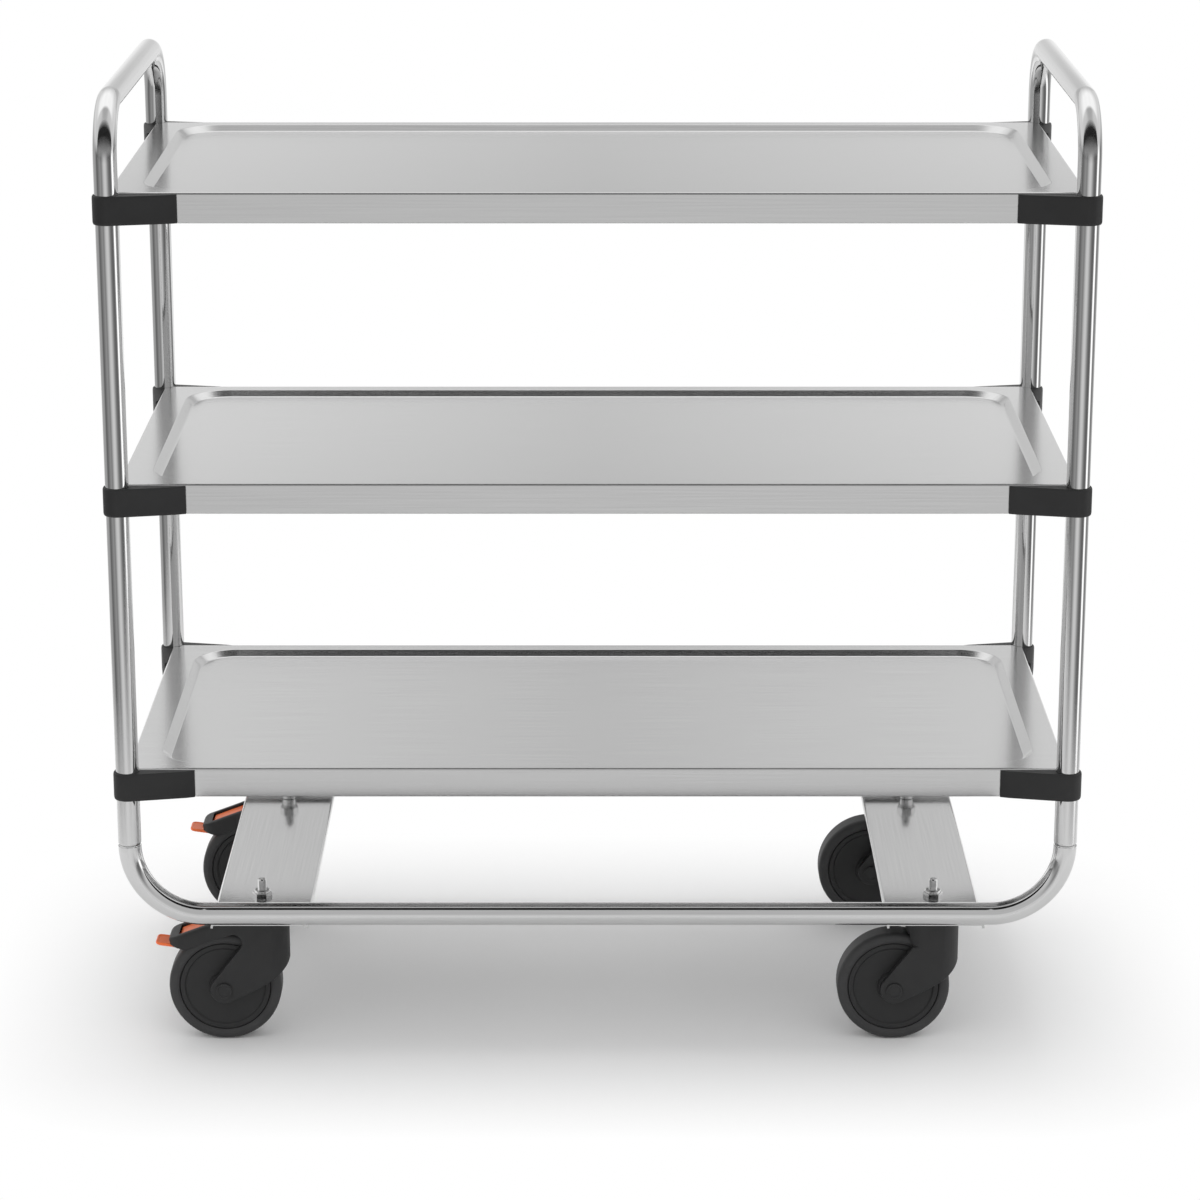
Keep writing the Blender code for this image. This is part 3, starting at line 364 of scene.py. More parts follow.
def bezier(start, pull_start, pull_end, end, steps):
    """Points of a cubic curve, both ends included."""
    points = []
    ends = (start, pull_start, pull_end, end)
    for i in range(steps + 1):
        t = i / steps
        weights = ((1 - t) ** 3, 3 * t * (1 - t) ** 2, 3 * t * t * (1 - t), t**3)
        points.append(tuple(sum(w * p[k] for w, p in zip(weights, ends)) for k in (0, 1)))
    return points


def rounded(points, radius):
    """The line with its corners rounded by the radius, or as far as their sides leave room."""
    line = [points[0]]
    for before, corner, after in zip(points, points[1:], points[2:]):
        bend = Vector(corner)
        back = Vector(before) - bend
        on = Vector(after) - bend
        room = FILLET_ROOM * min(back.length, on.length)
        reach = min(radius / math.tan(back.angle(on) / 2), room)
        start = bend + reach * back.normalized()
        end = bend + reach * on.normalized()
        pulls = (start.lerp(bend, FILLET_PULL), end.lerp(bend, FILLET_PULL))
        line += bezier(start, *pulls, end, FILLET_STEPS)
    return [*line, points[-1]]


def tangent_angle(point, radius, side):
    """Angle in degrees at which a line from the point touches a circle round the origin."""
    away = math.hypot(*point)
    return math.degrees(math.atan2(point[1], point[0]) + side * math.acos(radius / away))


def rounded_rectangle(half_x, half_y, radius):
    points = []
    for quarter, (sx, sy) in enumerate(QUARTERS):
        centre = (sx * (half_x - radius), sy * (half_y - radius))
        points += arc(centre, radius, 90 * quarter, 90 * quarter + 90, CORNER_STEPS)
    return points


# Meshes


def skin(rows, closed=True):
    """A bmesh through rings of points, with a cap on the first and, if it is closed, on the last.

    Its grain runs from row to row, in metres on the UV map.
    """
    bm = bmesh.new()
    grain = bm.loops.layers.uv.new("grain")
    verts = [[bm.verts.new(p) for p in row] for row in rows]
    count = len(rows[0])
    middles = [sum((Vector(p) for p in row), Vector()) / count for row in rows]
    along = 0
    for low, high, start, end in zip(verts, verts[1:], middles, middles[1:]):
        reach = along + (end - start).length
        for i in range(count):
            j = (i + 1) % count
            face = bm.faces.new((low[i], high[i], high[j], low[j]))
            places = ((along, i), (reach, i), (reach, i + 1), (along, i + 1))
            for loop, (u, turn) in zip(face.loops, places):
                loop[grain].uv = (u, turn / count * math.tau * TUBE_RADIUS)
        along = reach
    bm.faces.new(verts[0])
    if closed:
        bm.faces.new(verts[-1][::-1])
        bmesh.ops.recalc_face_normals(bm, faces=bm.faces)
    return bm


def lay_grain(bm):
    """Lays the UV map flat on each face, with the grain along X, or up and down on the end faces."""
    grain = bm.loops.layers.uv.verify()
    bm.normal_update()
    for face in bm.faces:
        across = [abs(n) for n in face.normal]
        main = across.index(max(across))
        u, v = ((2, 1), (0, 2), (0, 1))[main]
        for loop in face.loops:
            loop[grain].uv = (loop.vert.co[u], loop.vert.co[v])
    return bm


def prism(outline, axis, low, high):
    """A closed bmesh of an outline extruded along an axis. It lies in the other two axes, in order."""
    return skin([[raised(point, axis, along) for point in outline] for along in (low, high)])


def block(low, high):
    outline = [(low[0], low[1]), (high[0], low[1]), (high[0], high[1]), (low[0], high[1])]
    return prism(outline, "Z", low[2], high[2])


def cylinder(centre, radius, axis, low, high):
    steps = SMALL_TURN_STEPS
    return prism(arc(centre, radius, 0, 360 - 360 / steps, steps - 1), axis, low, high)


def turned(profile, axis, steps):
    """A closed bmesh turned about an axis. The profile holds (radius, place along the axis) points."""
    bm = bmesh.new()
    verts = [bm.verts.new(raised((radius, 0), axis, along)) for radius, along in profile]
    edges = [bm.edges.new(pair) for pair in zip(verts, verts[1:])]
    if profile[0][0] > 0:
        edges.append(bm.edges.new((verts[-1], verts[0])))
    whole = {"axis": raised((0, 0), axis, 1), "angle": math.tau, "steps": steps, "use_merge": True}
    bmesh.ops.spin(bm, geom=verts + edges, cent=(0, 0, 0), **whole)
    bmesh.ops.remove_doubles(bm, verts=bm.verts, dist=TURN_WELD_DISTANCE)
    bmesh.ops.recalc_face_normals(bm, faces=bm.faces)
    return bm


def turned_pair(half, steps):
    """A closed bmesh turned about Y from half of a profile that is the same on both sides."""
    return turned([*half, *((radius, -along) for radius, along in reversed(half))], "Y", steps)


def new_object(name, data):
    made = bpy.data.objects.new(name, data)
    bpy.context.scene.collection.objects.link(made)
    return made


def held(bm):
    """An object that carries the bmesh while a modifier works on it."""
    mesh = bpy.data.meshes.new("working")
    bm.to_mesh(mesh)
    bm.free()
    return new_object("working", mesh)


def discard(obj):
    mesh = obj.data
    bpy.data.objects.remove(obj)
    bpy.data.meshes.remove(mesh)


def worked(bm, kind, **settings):
    """The bmesh as a modifier leaves it."""
    holder = held(bm)
    modifier = holder.modifiers.new(kind, kind)
    for name, value in settings.items():
        setattr(modifier, name, value)
    result = bmesh.new()
    result.from_object(holder, bpy.context.evaluated_depsgraph_get())
    discard(holder)
    return result


def bevelled(bm, width, angle):
    """The solid with its edges rounded where they are sharper than the angle."""
    limit = {"limit_method": "ANGLE", "angle_limit": angle}
    return worked(bm, "BEVEL", width=width, segments=BEVEL_STEPS, **limit)


def boolean(base, tool, operation):
    """The base cut by, joined to or kept inside the tool."""
    other = held(tool)
    result = worked(base, "BOOLEAN", operation=operation, solver="EXACT", object=other)
    discard(other)
    return result


def cut(bm, *tools):
    for tool in tools:
        bm = boolean(bm, tool, "DIFFERENCE")
    return bm


def largest_part(bm):
    """Drops the specks that a remesh can leave along a cut, and keeps the largest part."""
    unseen = set(bm.verts)
    parts = []
    while unseen:
        part = [unseen.pop()]
        for vert in part:
            near = {edge.other_vert(vert) for edge in vert.link_edges} & unseen
            unseen -= near
            part.extend(near)
        parts.append(part)
    parts.sort(key=len)
    specks = [vert for part in parts[:-1] for vert in part]
    bmesh.ops.delete(bm, geom=specks, context="VERTS")
    return bm


def moulded(bm, voxel):
    """The solid with every edge softened, as on a moulding."""
    bm = largest_part(worked(bm, "REMESH", mode="VOXEL", voxel_size=voxel))
    return worked(bm, "SMOOTH", factor=SOFTENING_FACTOR, iterations=SOFTENING_ROUNDS)


def mesh_of(name, bm, sharp_angle=SHARP_ANGLE):
    """The finished mesh: welded, turned outwards, and smooth but for its sharp edges."""
    bmesh.ops.remove_doubles(bm, verts=bm.verts, dist=WELD_DISTANCE)
    if bm.calc_volume(signed=True) < 0:
        bmesh.ops.reverse_faces(bm, faces=bm.faces)
    mesh = bpy.data.meshes.new(name)
    bm.to_mesh(mesh)
    bm.free()
    mesh.shade_smooth()
    mesh.set_sharp_from_angle(angle=sharp_angle)
    return mesh


def dress(node, mesh, place=(0, 0, 0)):
    """Puts the mesh in the node's stead, on its body and with its slot's finish or a finish it has."""
    if not mesh.materials:
        mesh.materials.append(FINISHES[SLOT_OF[node]])
    piece = new_object(f"{node}_fine", mesh)
    piece.location = place
    piece.modifiers.new("normals", "WEIGHTED_NORMAL").keep_sharp = True
    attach(piece, BODY_OF[node])
    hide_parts(node)


# Tube frame


def u_bend(half, bar, end, radius):
    """Centre line of a tube bent to a U, as (place, direction) pairs from end to end."""
    up = 1 if bar > end else -1
    rising = []
    for i in range(BEND_STEPS + 1):
        turn = math.radians(90 * i / BEND_STEPS)
        across = -half + radius - radius * math.cos(turn)
        height = bar - up * radius + up * radius * math.sin(turn)
        rising.append(((across, height), (math.sin(turn), up * math.cos(turn))))
    falling = [((-x, z), (dx, -dz)) for (x, z), (dx, dz) in reversed(rising)]
    return [((-half, end), (0, up)), *rising, *falling, ((half, end), (0, -up))]


def drawn_end(place, direction, inward):
    """Stations from a tube's end that is drawn in a little. Inward is 1 or -1 along the direction."""
    stations = []
    for i in range(FILLET_STEPS + 1):
        share = i / FILLET_STEPS
        back = tuple(p + inward * share * TUBE_END_TAPER * d for p, d in zip(place, direction))
        stations.append((back, direction, TUBE_RADIUS - TUBE_END_DRAW * (1 - share) ** 2))
    return stations


def tube(line, axis, depth):
    """A tube along a line that lies across the axis at that depth, with its ends drawn in."""
    normal = raised((0, 0), axis, 1)
    body = [(place, direction, TUBE_RADIUS) for place, direction in line[1:-1]]
    stations = [*drawn_end(*line[0], 1), *body, *reversed(drawn_end(*line[-1], -1))]
    rows = []
    for place, direction, radius in stations:
        centre = raised(place, axis, depth)
        across = raised(direction, axis, 0).cross(normal)
        turns = [math.tau * i / TUBE_SIDES for i in range(TUBE_SIDES)]
        rows.append([centre + radius * (math.cos(t) * normal + math.sin(t) * across) for t in turns])
    return skin(rows)


def dress_tubes():
    top = OVERALL_HEIGHT - TUBE_RADIUS
    handle = u_bend(POST_Y, top, JOINT_HEIGHT + SEAT_GAP, HANDLE_BEND_RADIUS)
    rail = u_bend(POST_X, RAIL_AXIS_HEIGHT, JOINT_HEIGHT, RAIL_BEND_RADIUS)
    for end, sx in ENDS.items():
        node = f"{end}_handle_frame"
        dress(node, mesh_of(node, tube(handle, "X", sx * POST_X)))
    for side, sy in SIDES.items():
        node = f"{side}_lower_rail"
        dress(node, mesh_of(node, tube(rail, "Y", sy * POST_Y)))


# Pressed shelves


def recess_section():
    """The recess's wall as (run in from the rim's edge, drop below the rim), from floor to rim."""
    slope = math.atan2(RECESS_DEPTH, RECESS_WALL_RUN)
    turn = math.degrees(slope)
    room = math.tan(slope / 2)
    low = RECESS_FLOOR_RADIUS
    high = RECESS_EDGE_RADIUS
    foot_centre = (RECESS_WALL_RUN + low * room, RECESS_DEPTH - low)
    foot = arc(foot_centre, low, 90, 90 + turn, FILLET_STEPS)
    return foot + arc((-high * room, high), high, turn - 90, -90, FILLET_STEPS)


def skirt_section():
    """The folded edge as (inset from the outer face, drop below the rim), from rim to lip."""
    edge = SHELF_EDGE_RADIUS
    lip = SHELF_LIP_RADIUS
    fold = arc((edge, edge), edge, 270, 180, FILLET_STEPS)
    hem = arc((lip, SHELF_SKIRT - lip), lip, 180, 90, FILLET_STEPS)
    return [*fold, *hem, (SHELF_LIP, SHELF_SKIRT)]


def shelf():
    """A pressed shelf whose rim lies at height 0."""
    half_y = POST_Y - SHELF_INSET_Y
    plans = []
    for run, drop in recess_section():
        half = (POST_X - RECESS_RIM_X - run, half_y - RECESS_RIM_Y - run)
        plans.append((*half, RECESS_CORNER_RADIUS - run, drop))
    for inset, drop in skirt_section():
        corner = max(SHELF_CORNER_RADIUS - inset, SEAT_GAP)
        plans.append((POST_X - inset, half_y - inset, corner, drop))
    rows = [[(x, y, -drop) for x, y in rounded_rectangle(*plan)] for *plan, drop in plans]
    bm = skin(rows, closed=False)
    bm = worked(bm, "SOLIDIFY", thickness=SHELF_SHEET, offset=-1, use_even_offset=True)
    notch = TUBE_RADIUS + 2 * SEAT_GAP
    posts = [(sx * POST_X, sy * POST_Y) for sx, sy in CORNERS.values()]
    bm = cut(bm, *(cylinder(post, notch, "Z", -2 * SHELF_SKIRT, SHELF_SKIRT) for post in posts))
    return lay_grain(bm)


# Corner brackets


def bracket_outline(inset):
    """Plan of a bracket round a post at the origin, with one wing along +x and one along +y."""
    inner = TUBE_RADIUS + SEAT_GAP
    outer = TUBE_RADIUS + SEAT_GAP + BRACKET_WALL - inset
    face_x = -SEAT_GAP
    face_y = SHELF_INSET_Y - SEAT_GAP
    thickness = BRACKET_WING_END - inset
    knee = BRACKET_REACH - BRACKET_FACET_LENGTH
    front_knee = (knee, face_y - thickness - BRACKET_FACET_RISE)
    side_knee = (face_x - thickness - BRACKET_FACET_RISE, knee)
    start = tangent_angle(front_knee, outer, -1)
    end = tangent_angle(side_knee, outer, 1) - 360
    inner_side = math.degrees(math.acos(face_x / inner)) - 360
    inner_front = math.degrees(math.asin(face_y / inner))
    return [
        (BRACKET_REACH, face_y),
        (BRACKET_REACH, face_y - thickness),
        front_knee,
        *arc((0, 0), outer, start, end, CURVE_STEPS),
        side_knee,
        (face_x - thickness, BRACKET_REACH),
        (face_x, BRACKET_REACH),
        *arc((0, 0), inner, inner_side, inner_front, SMALL_TURN_STEPS),
    ]


def bracket(sx, sy):
    """A bracket at its post, with its upper edge at height 0."""
    quarter = arc((1, 1), 1, 270, 180, FILLET_STEPS)
    edge = [(BRACKET_EDGE_INSET * x, BRACKET_EDGE_RISE * y) for x, y in quarter]
    layers = [(inset, -drop) for inset, drop in edge]
    layers += [(inset, drop - BRACKET_HEIGHT) for inset, drop in reversed(edge)]
    rows = []
    for inset, height in layers:
        plan = bracket_outline(inset)
        rows.append([(sx * (POST_X - u), sy * (POST_Y - v), height) for u, v in plan])
    return bevelled(skin(rows), BRACKET_SOFTENING, BRACKET_SOFT_ANGLE)


def dress_shelves():
    tray = mesh_of("shelf", shelf())
    corner_meshes = {corner: mesh_of("bracket", bracket(*signs)) for corner, signs in CORNERS.items()}
    for level, height in SHELF_HEIGHTS.items():
        dress(f"{level}_shelf", tray, (0, 0, height))
        for corner, mesh in corner_meshes.items():
            dress(f"{level}_bracket_{corner}", mesh, (0, 0, height - BRACKET_DROP))


# Cross beams


def cross_beam():
    """A flanged beam under both rails, with a hole for each swivel bolt, about the trolley's middle."""
    half = BEAM_WIDTH / 2
    low = BEAM_TOP - BEAM_FLANGE
    inner = BEAM_BEND_RADIUS - BEAM_SHEET
    centre = (half - BEAM_BEND_RADIUS, BEAM_TOP - BEAM_BEND_RADIUS)
    outside = [(half, low), *arc(centre, BEAM_BEND_RADIUS, 0, 90, FILLET_STEPS)]
    inside = [*arc(centre, inner, 90, 0, FILLET_STEPS), (half - BEAM_SHEET, low)]
    outside += [(-u, z) for u, z in reversed(outside)]
    inside = [(-u, z) for u, z in reversed(inside)] + inside
    end = POST_Y - BEAM_END_INSET
    made = prism(outside + inside, "Y", -end, end)
    for sy in SIDES.values():
        place = (0, sy * CASTER_Y)
        made = cut(made, cylinder(place, BOLT_BORE_RADIUS, "Z", low, BEAM_TOP + BEAM_SHEET))
    grain = made.loops.layers.uv.verify()
    for face in made.faces:
        for loop in face.loops:
            loop[grain].uv = (loop.vert.co.y, loop.vert.co.x + loop.vert.co.z)
    return made


def dress_beams():
    beam = mesh_of("cross_beam", cross_beam())
    beam.materials.append(FINISHES["beam_steel"])
    for end, sx in ENDS.items():
        dress(f"{end}_cross_beam", beam, (sx * CASTER_X, 0, 0))


# Casters, with the wheel trailing towards -X


def leg_rear_edge():
    """The shoulder that a leg's rear edge rises to, and the angle at which it leaves the axle boss."""
    shoulder = (SHOULDER_SETBACK - CROWN_RADIUS - CROWN_STRETCH, FORK_TOP - SHOULDER_DEPTH)
    reach = (shoulder[0] + CASTER_TRAIL, shoulder[1] - WHEEL_RADIUS)
    return shoulder, tangent_angle(reach, BOSS_RADIUS, 1)


def hood_fillet():
    """Centre of the round between the hood's underside and a leg, and where it leaves the underside."""
    shoulder, leave = leg_rear_edge()
    root = Vector((-HOOD_ROOT_REACH, FORK_TOP - HOOD_ROOT_DEPTH))
    heel = Vector((-HOOD_HEEL_REACH, FORK_TOP - HOOD_HEEL_DEPTH))
    under = (root - heel).normalized()
    below = Vector((under.y, -under.x))
    behind = Vector((math.cos(math.radians(leave)), math.sin(math.radians(leave))))
    on_under = root + HOOD_FILLET_RADIUS * below
    on_leg = Vector(shoulder) + HOOD_FILLET_RADIUS * behind
    run = (on_leg - on_under).dot(behind) / under.dot(behind)
    return tuple(on_under + run * under), tuple(root + run * under)


def fork_side(braked):
    """Side outline of a fork: crown, curved front edge, axle boss and the leg's rear edge."""
    back = CROWN_RADIUS + CROWN_STRETCH
    shoulder, leave = leg_rear_edge()
    crown_low = FORK_TOP - CROWN_DEPTH
    toe_angle = 270 + math.degrees(FORK_TOE_SLOPE)
    boss = arc((-CASTER_TRAIL, WHEEL_RADIUS), BOSS_RADIUS, toe_angle, leave, CURVE_STEPS)
    toe_x, toe_z = boss[0]
    run_x = FORK_CURVE_RUN * math.cos(FORK_TOE_SLOPE)
    run_z = FORK_CURVE_RUN * math.sin(FORK_TOE_SLOPE)
    front = bezier(
        (CROWN_RADIUS, crown_low),
        (CROWN_RADIUS, crown_low - FORK_CURVE_DROP),
        (toe_x + run_x, toe_z + run_z),
        (toe_x, toe_z),
        CURVE_STEPS,
    )
    under_hood = [hood_fillet()[1]] if braked else []
    crown_back = [shoulder, *under_hood, (-back, FORK_TOP - CROWN_BACK_DEPTH), (-back, FORK_TOP)]
    return [(CROWN_RADIUS, FORK_TOP), *front, *boss[1:], *crown_back]


def fork_body(braked):
    """The fork's crown and legs in one block, round in front and, above the shoulder, at the back."""
    made = prism(fork_side(braked), "Y", -FORK_HALF, FORK_HALF)
    rear = -CASTER_TRAIL - 2 * BOSS_RADIUS
    crown = arc((0, 0), CROWN_RADIUS, -90, 90, CURVE_STEPS)
    plan = [(rear, -CROWN_RADIUS), *crown, (rear, CROWN_RADIUS)]
    made = boolean(made, prism(plan, "Z", 0, 2 * FORK_TOP), "INTERSECT")
    trim_depth = HOOD_RIM_DROP + HOOD_EDGE_RADIUS if braked else SHOULDER_DEPTH
    trim_low = (rear - CROWN_RADIUS, -2 * FORK_HALF, FORK_TOP - trim_depth)
    trim = block(trim_low, (-CROWN_STRETCH, 2 * FORK_HALF, 2 * FORK_TOP))
    round_back = cylinder((-CROWN_STRETCH, 0), CROWN_RADIUS, "Z", 0, 3 * FORK_TOP)
    return cut(made, cut(trim, round_back))


def rim_height(x):
    """Height of the hood's sloping rim."""
    return FORK_TOP - HOOD_RIM_DROP + (x + HOOD_RIM_START) * math.tan(HOOD_SLOPE)


def hood_section(x, half):
    """A section across the hood, rounded along its upper edges."""
    edge = HOOD_EDGE_RADIUS
    top = min(rim_height(x), rim_height(-HOOD_RIM_START))
    right = arc((half - edge, top - edge), edge, 0, 90, FILLET_STEPS)
    left = [(-y, z) for y, z in reversed(right)]
    return [(x, y, z) for y, z in [(half, WHEEL_RADIUS), *right, *left, (-half, WHEEL_RADIUS)]]


def hood():
    """The moulded hood over the tyre that holds a brake pedal."""
    half = HOOD_WIDTH / 2
    bend_share = (HOOD_RIM_START - HOOD_TAPER_START) / (HOOD_TAPER_END - HOOD_TAPER_START)
    bend_half = FORK_HALF + bend_share * (half - FORK_HALF)
    sections = (
        (0, FORK_HALF),
        (-HOOD_TAPER_START, FORK_HALF),
        (-HOOD_RIM_START, bend_half),
        (-HOOD_TAPER_END, half),
        (-PEDAL_REACH, half),
    )
    whole = skin([hood_section(*section) for section in sections])
    bend = HOOD_REACH - HOOD_NOSE_RADIUS
    nose_centre = (-bend, rim_height(-bend) - HOOD_NOSE_RADIUS / math.cos(HOOD_SLOPE))
    nose = arc(nose_centre, HOOD_NOSE_RADIUS, 90 + math.degrees(HOOD_SLOPE), 180, CORNER_STEPS)
    side = [
        (-CROWN_STRETCH, 2 * FORK_TOP),
        (nose[0][0], 2 * FORK_TOP),
        *nose,
        (-HOOD_REACH, FORK_TOP - HOOD_NOSE_DEPTH),
        (-HOOD_HEEL_REACH, FORK_TOP - HOOD_HEEL_DEPTH),
        (-HOOD_ROOT_REACH, FORK_TOP - HOOD_ROOT_DEPTH),
        (-CROWN_STRETCH, FORK_TOP - HOOD_ROOT_DEPTH),
    ]
    made = boolean(whole, prism(side, "Y", -HOOD_WIDTH, HOOD_WIDTH), "INTERSECT")
    corner = HOOD_CORNER_RADIUS
    plan = [(FORK_HALF, HOOD_WIDTH), (corner - HOOD_REACH, HOOD_WIDTH)]
    plan += arc((corner - HOOD_REACH, half - corner), corner, 90, 180, CORNER_STEPS)
    plan += [(x, -y) for x, y in reversed(plan)]
    return boolean(made, prism(plan, "Z", 0, 2 * FORK_TOP), "INTERSECT")


def tongue(reach, width, radius):
    """A tall block from the origin towards -X, whose far corners are rounded."""
    half = width / 2
    plan = [(0, -half), (0, half)]
    plan += arc((radius - reach, half - radius), radius, 90, 180, CORNER_STEPS)
    plan += arc((radius - reach, radius - half), radius, 180, 270, CORNER_STEPS)
    return prism(plan, "Z", -FORK_TOP, 2 * FORK_TOP)


def brake_cutters():
    """Taken out of a braked fork: the hood's fillet, the pedal's pocket, its window and a bore."""
    half = PEDAL_WIDTH / 2 + PEDAL_SIDE_GAP
    mouth = HOOD_REACH - HOOD_END_WALL
    foot = HOOD_REACH - HOOD_END_FOOT
    window = FORK_TOP - WINDOW_DEPTH
    pocket = [
        (-POCKET_ROOT_REACH, WHEEL_RADIUS),
        (-POCKET_ROOT_REACH, 2 * FORK_TOP),
        (-mouth, 2 * FORK_TOP),
        (-mouth, rim_height(-mouth)),
        (-foot, window),
        (-foot, WHEEL_RADIUS),
    ]
    bore_half = PIN_HALF + FORK_BORE_ROOM
    return (
        cylinder(hood_fillet()[0], HOOD_FILLET_RADIUS, "Y", -2 * FORK_HALF, 2 * FORK_HALF),
        prism(pocket, "Y", -half, half),
        block((-PEDAL_REACH, -half, WHEEL_RADIUS), (-mouth, half, window)),
        cylinder((-PIN_REACH, PIN_HEIGHT), PIN_RADIUS + FORK_BORE_ROOM, "Y", -bore_half, bore_half),
    )


def fork(braked):
    """A fork with its wheel slot and bores and, if it is braked, a hood for the pedal."""
    made = fork_body(braked)
    if braked:
        made = boolean(made, hood(), "UNION")
    axle_place = (-CASTER_TRAIL, WHEEL_RADIUS)
    room = FORK_BORE_ROOM
    made = cut(
        made,
        cylinder(axle_place, WHEEL_RADIUS + WHEEL_TOP_GAP, "Y", -SLOT_HALF, SLOT_HALF),
        cylinder((0, 0), BOLT_HEAD_RADIUS + room, "Z", WHEEL_RADIUS, BOLT_SEAT + room),
        cylinder((0, 0), BOLT_RADIUS + room, "Z", WHEEL_RADIUS, 2 * FORK_TOP),
        cylinder(axle_place, AXLE_RADIUS + room, "Y", -2 * FORK_HALF, 2 * FORK_HALF),
    )
    if braked:
        made = cut(made, *brake_cutters())
    return moulded(made, FORK_VOXEL)


def tyre():
    """A tyre with bellied sides and a crown that curves into the flat of its tread."""
    side = bezier(
        TYRE_BEAD,
        (TYRE_BEAD[0] + TYRE_SIDE_PULLS[0], TYRE_BELLY_HALF),
        (TYRE_SHOULDER[0] - TYRE_SIDE_PULLS[1], TYRE_BELLY_HALF),
        TYRE_SHOULDER,
        TYRE_SIDE_STEPS,
    )
    crown = bezier(
        TYRE_SHOULDER,
        (WHEEL_RADIUS - TYRE_CROWN_PULL[0], TYRE_SHOULDER[1] - TYRE_CROWN_PULL[1]),
        (WHEEL_RADIUS, TYRE_TREAD_HALF + TYRE_TREAD_PULL),
        (WHEEL_RADIUS, TYRE_TREAD_HALF),
        TYRE_CROWN_STEPS,
    )
    return turned_pair([*side, *crown[1:]], TURN_STEPS)


def wheel_core():
    """A wheel's core: hub, dished web, stepped rim and the bore for the axle."""
    face = SLOT_HALF - RUNNING_GAP
    slope = CORE_RIM_HALF - CORE_WEB_HALF
    half = [
        (AXLE_RADIUS + RUNNING_GAP, face),
        (HUB_RADIUS, face),
        (HUB_RADIUS + slope, CORE_WEB_HALF),
        (CORE_STEP_RADIUS - slope, CORE_WEB_HALF),
        (CORE_STEP_RADIUS, CORE_RIM_HALF),
        (CORE_RIM_RADIUS - CORE_RIM_CHAMFER[0], CORE_RIM_HALF),
        (CORE_RIM_RADIUS, CORE_RIM_HALF - CORE_RIM_CHAMFER[1]),
        (CORE_RIM_RADIUS, 0),
    ]
    return turned_pair(rounded(half, CORE_ROUNDING)[:-1], TURN_STEPS)


def axle():
    """A riveted axle with a shallow dish in each head."""
    seat = FORK_HALF + SEAT_GAP
    end = seat + AXLE_HEAD_THICKNESS
    half = [
        (0, end - AXLE_DISH_DEPTH),
        (AXLE_DISH_RADIUS, end - AXLE_DISH_DEPTH),
        (AXLE_DISH_RADIUS + AXLE_DISH_DEPTH, end),
        (AXLE_HEAD_RADIUS, end),
        (AXLE_HEAD_RADIUS, seat),
        (AXLE_RADIUS, seat),
        (AXLE_RADIUS, 0),
    ]
    return turned_pair(rounded(half, AXLE_ROUNDING)[:-1], SMALL_TURN_STEPS)


def king_bolt():
    """A threaded bolt with its head under the fork's crown and a small socket in its tip."""
    root = BOLT_RADIUS - THREAD_DEPTH
    profile = [
        (0, BOLT_TOP - SOCKET_DEPTH),
        (SOCKET_RADIUS, BOLT_TOP - SOCKET_DEPTH),
        (SOCKET_RADIUS + SOCKET_FLARE, BOLT_TOP),
        (BOLT_RADIUS - BOLT_TIP_CHAMFER, BOLT_TOP),
        (root, BOLT_TOP - BOLT_TIP_CHAMFER),
    ]
    height = BOLT_TOP - BOLT_TIP_CHAMFER
    while height > NUT_LOW:
        profile.append((BOLT_RADIUS, height - THREAD_PITCH / 2))
        profile.append((root, height - THREAD_PITCH))
        height -= THREAD_PITCH
    seat = BOLT_SEAT - RUNNING_GAP
    shank = [(BOLT_RADIUS, height), (BOLT_RADIUS, seat)]
    head = [(BOLT_HEAD_RADIUS, seat), (BOLT_HEAD_RADIUS, BOLT_HEAD_LOW), (0, BOLT_HEAD_LOW)]
    return turned([*profile, *rounded(shank + head, BOLT_ROUNDING)], "Z", SMALL_TURN_STEPS)


def ring(profile):
    """A turned ring with softened edges. The profile starts on its bore."""
    return turned(rounded([*profile, profile[0]], RING_ROUNDING)[:-1], "Z", SMALL_TURN_STEPS)


def swivel_race():
    bore = BOLT_BORE_RADIUS
    high = RACE_LOW + RACE_THICKNESS
    return ring([(bore, RACE_LOW), (bore, high), (RACE_RADIUS, high), (RACE_RADIUS, RACE_LOW)])


def washer():
    """A washer on a round spacer."""
    bore = BOLT_BORE_RADIUS
    step = WASHER_LOW + SPACER_HEIGHT
    high = step + WASHER_THICKNESS
    return ring([
        (bore, WASHER_LOW),
        (bore, high),
        (WASHER_RADIUS, high),
        (WASHER_RADIUS, step),
        (SPACER_RADIUS, step),
        (SPACER_RADIUS, WASHER_LOW),
    ])


def lock_nut():
    """A hexagon with chamfered corners and the round collar that holds the locking insert."""
    corner = NUT_ACROSS_FLATS / math.sqrt(3)
    flat = NUT_ACROSS_FLATS / 2
    hex_top = NUT_LOW + NUT_HEX_HEIGHT
    top = hex_top + NUT_COLLAR_HEIGHT
    edge = NUT_CORNER_BREAK
    bore = BOLT_BORE_RADIUS
    corners = arc((0, 0), corner, 0, 360 - 360 / NUT_SIDES, NUT_SIDES - 1)
    hexagon = prism(corners, "Z", NUT_LOW - edge, top + edge)
    outside = [
        (bore, NUT_LOW),
        (flat - NUT_FACE_BREAK, NUT_LOW),
        (corner + NUT_FACE_BREAK, NUT_LOW + edge),
        (corner + NUT_FACE_BREAK, hex_top - edge),
        (flat - NUT_FACE_BREAK, hex_top),
        (NUT_COLLAR_RADIUS, hex_top),
        (NUT_COLLAR_RADIUS, top - edge),
        (NUT_COLLAR_RADIUS - edge, top),
        (bore, top),
    ]
    made = boolean(hexagon, turned(outside, "Z", SMALL_TURN_STEPS), "INTERSECT")
    return bevelled(made, NUT_SOFTENING, NUT_SOFT_ANGLE)


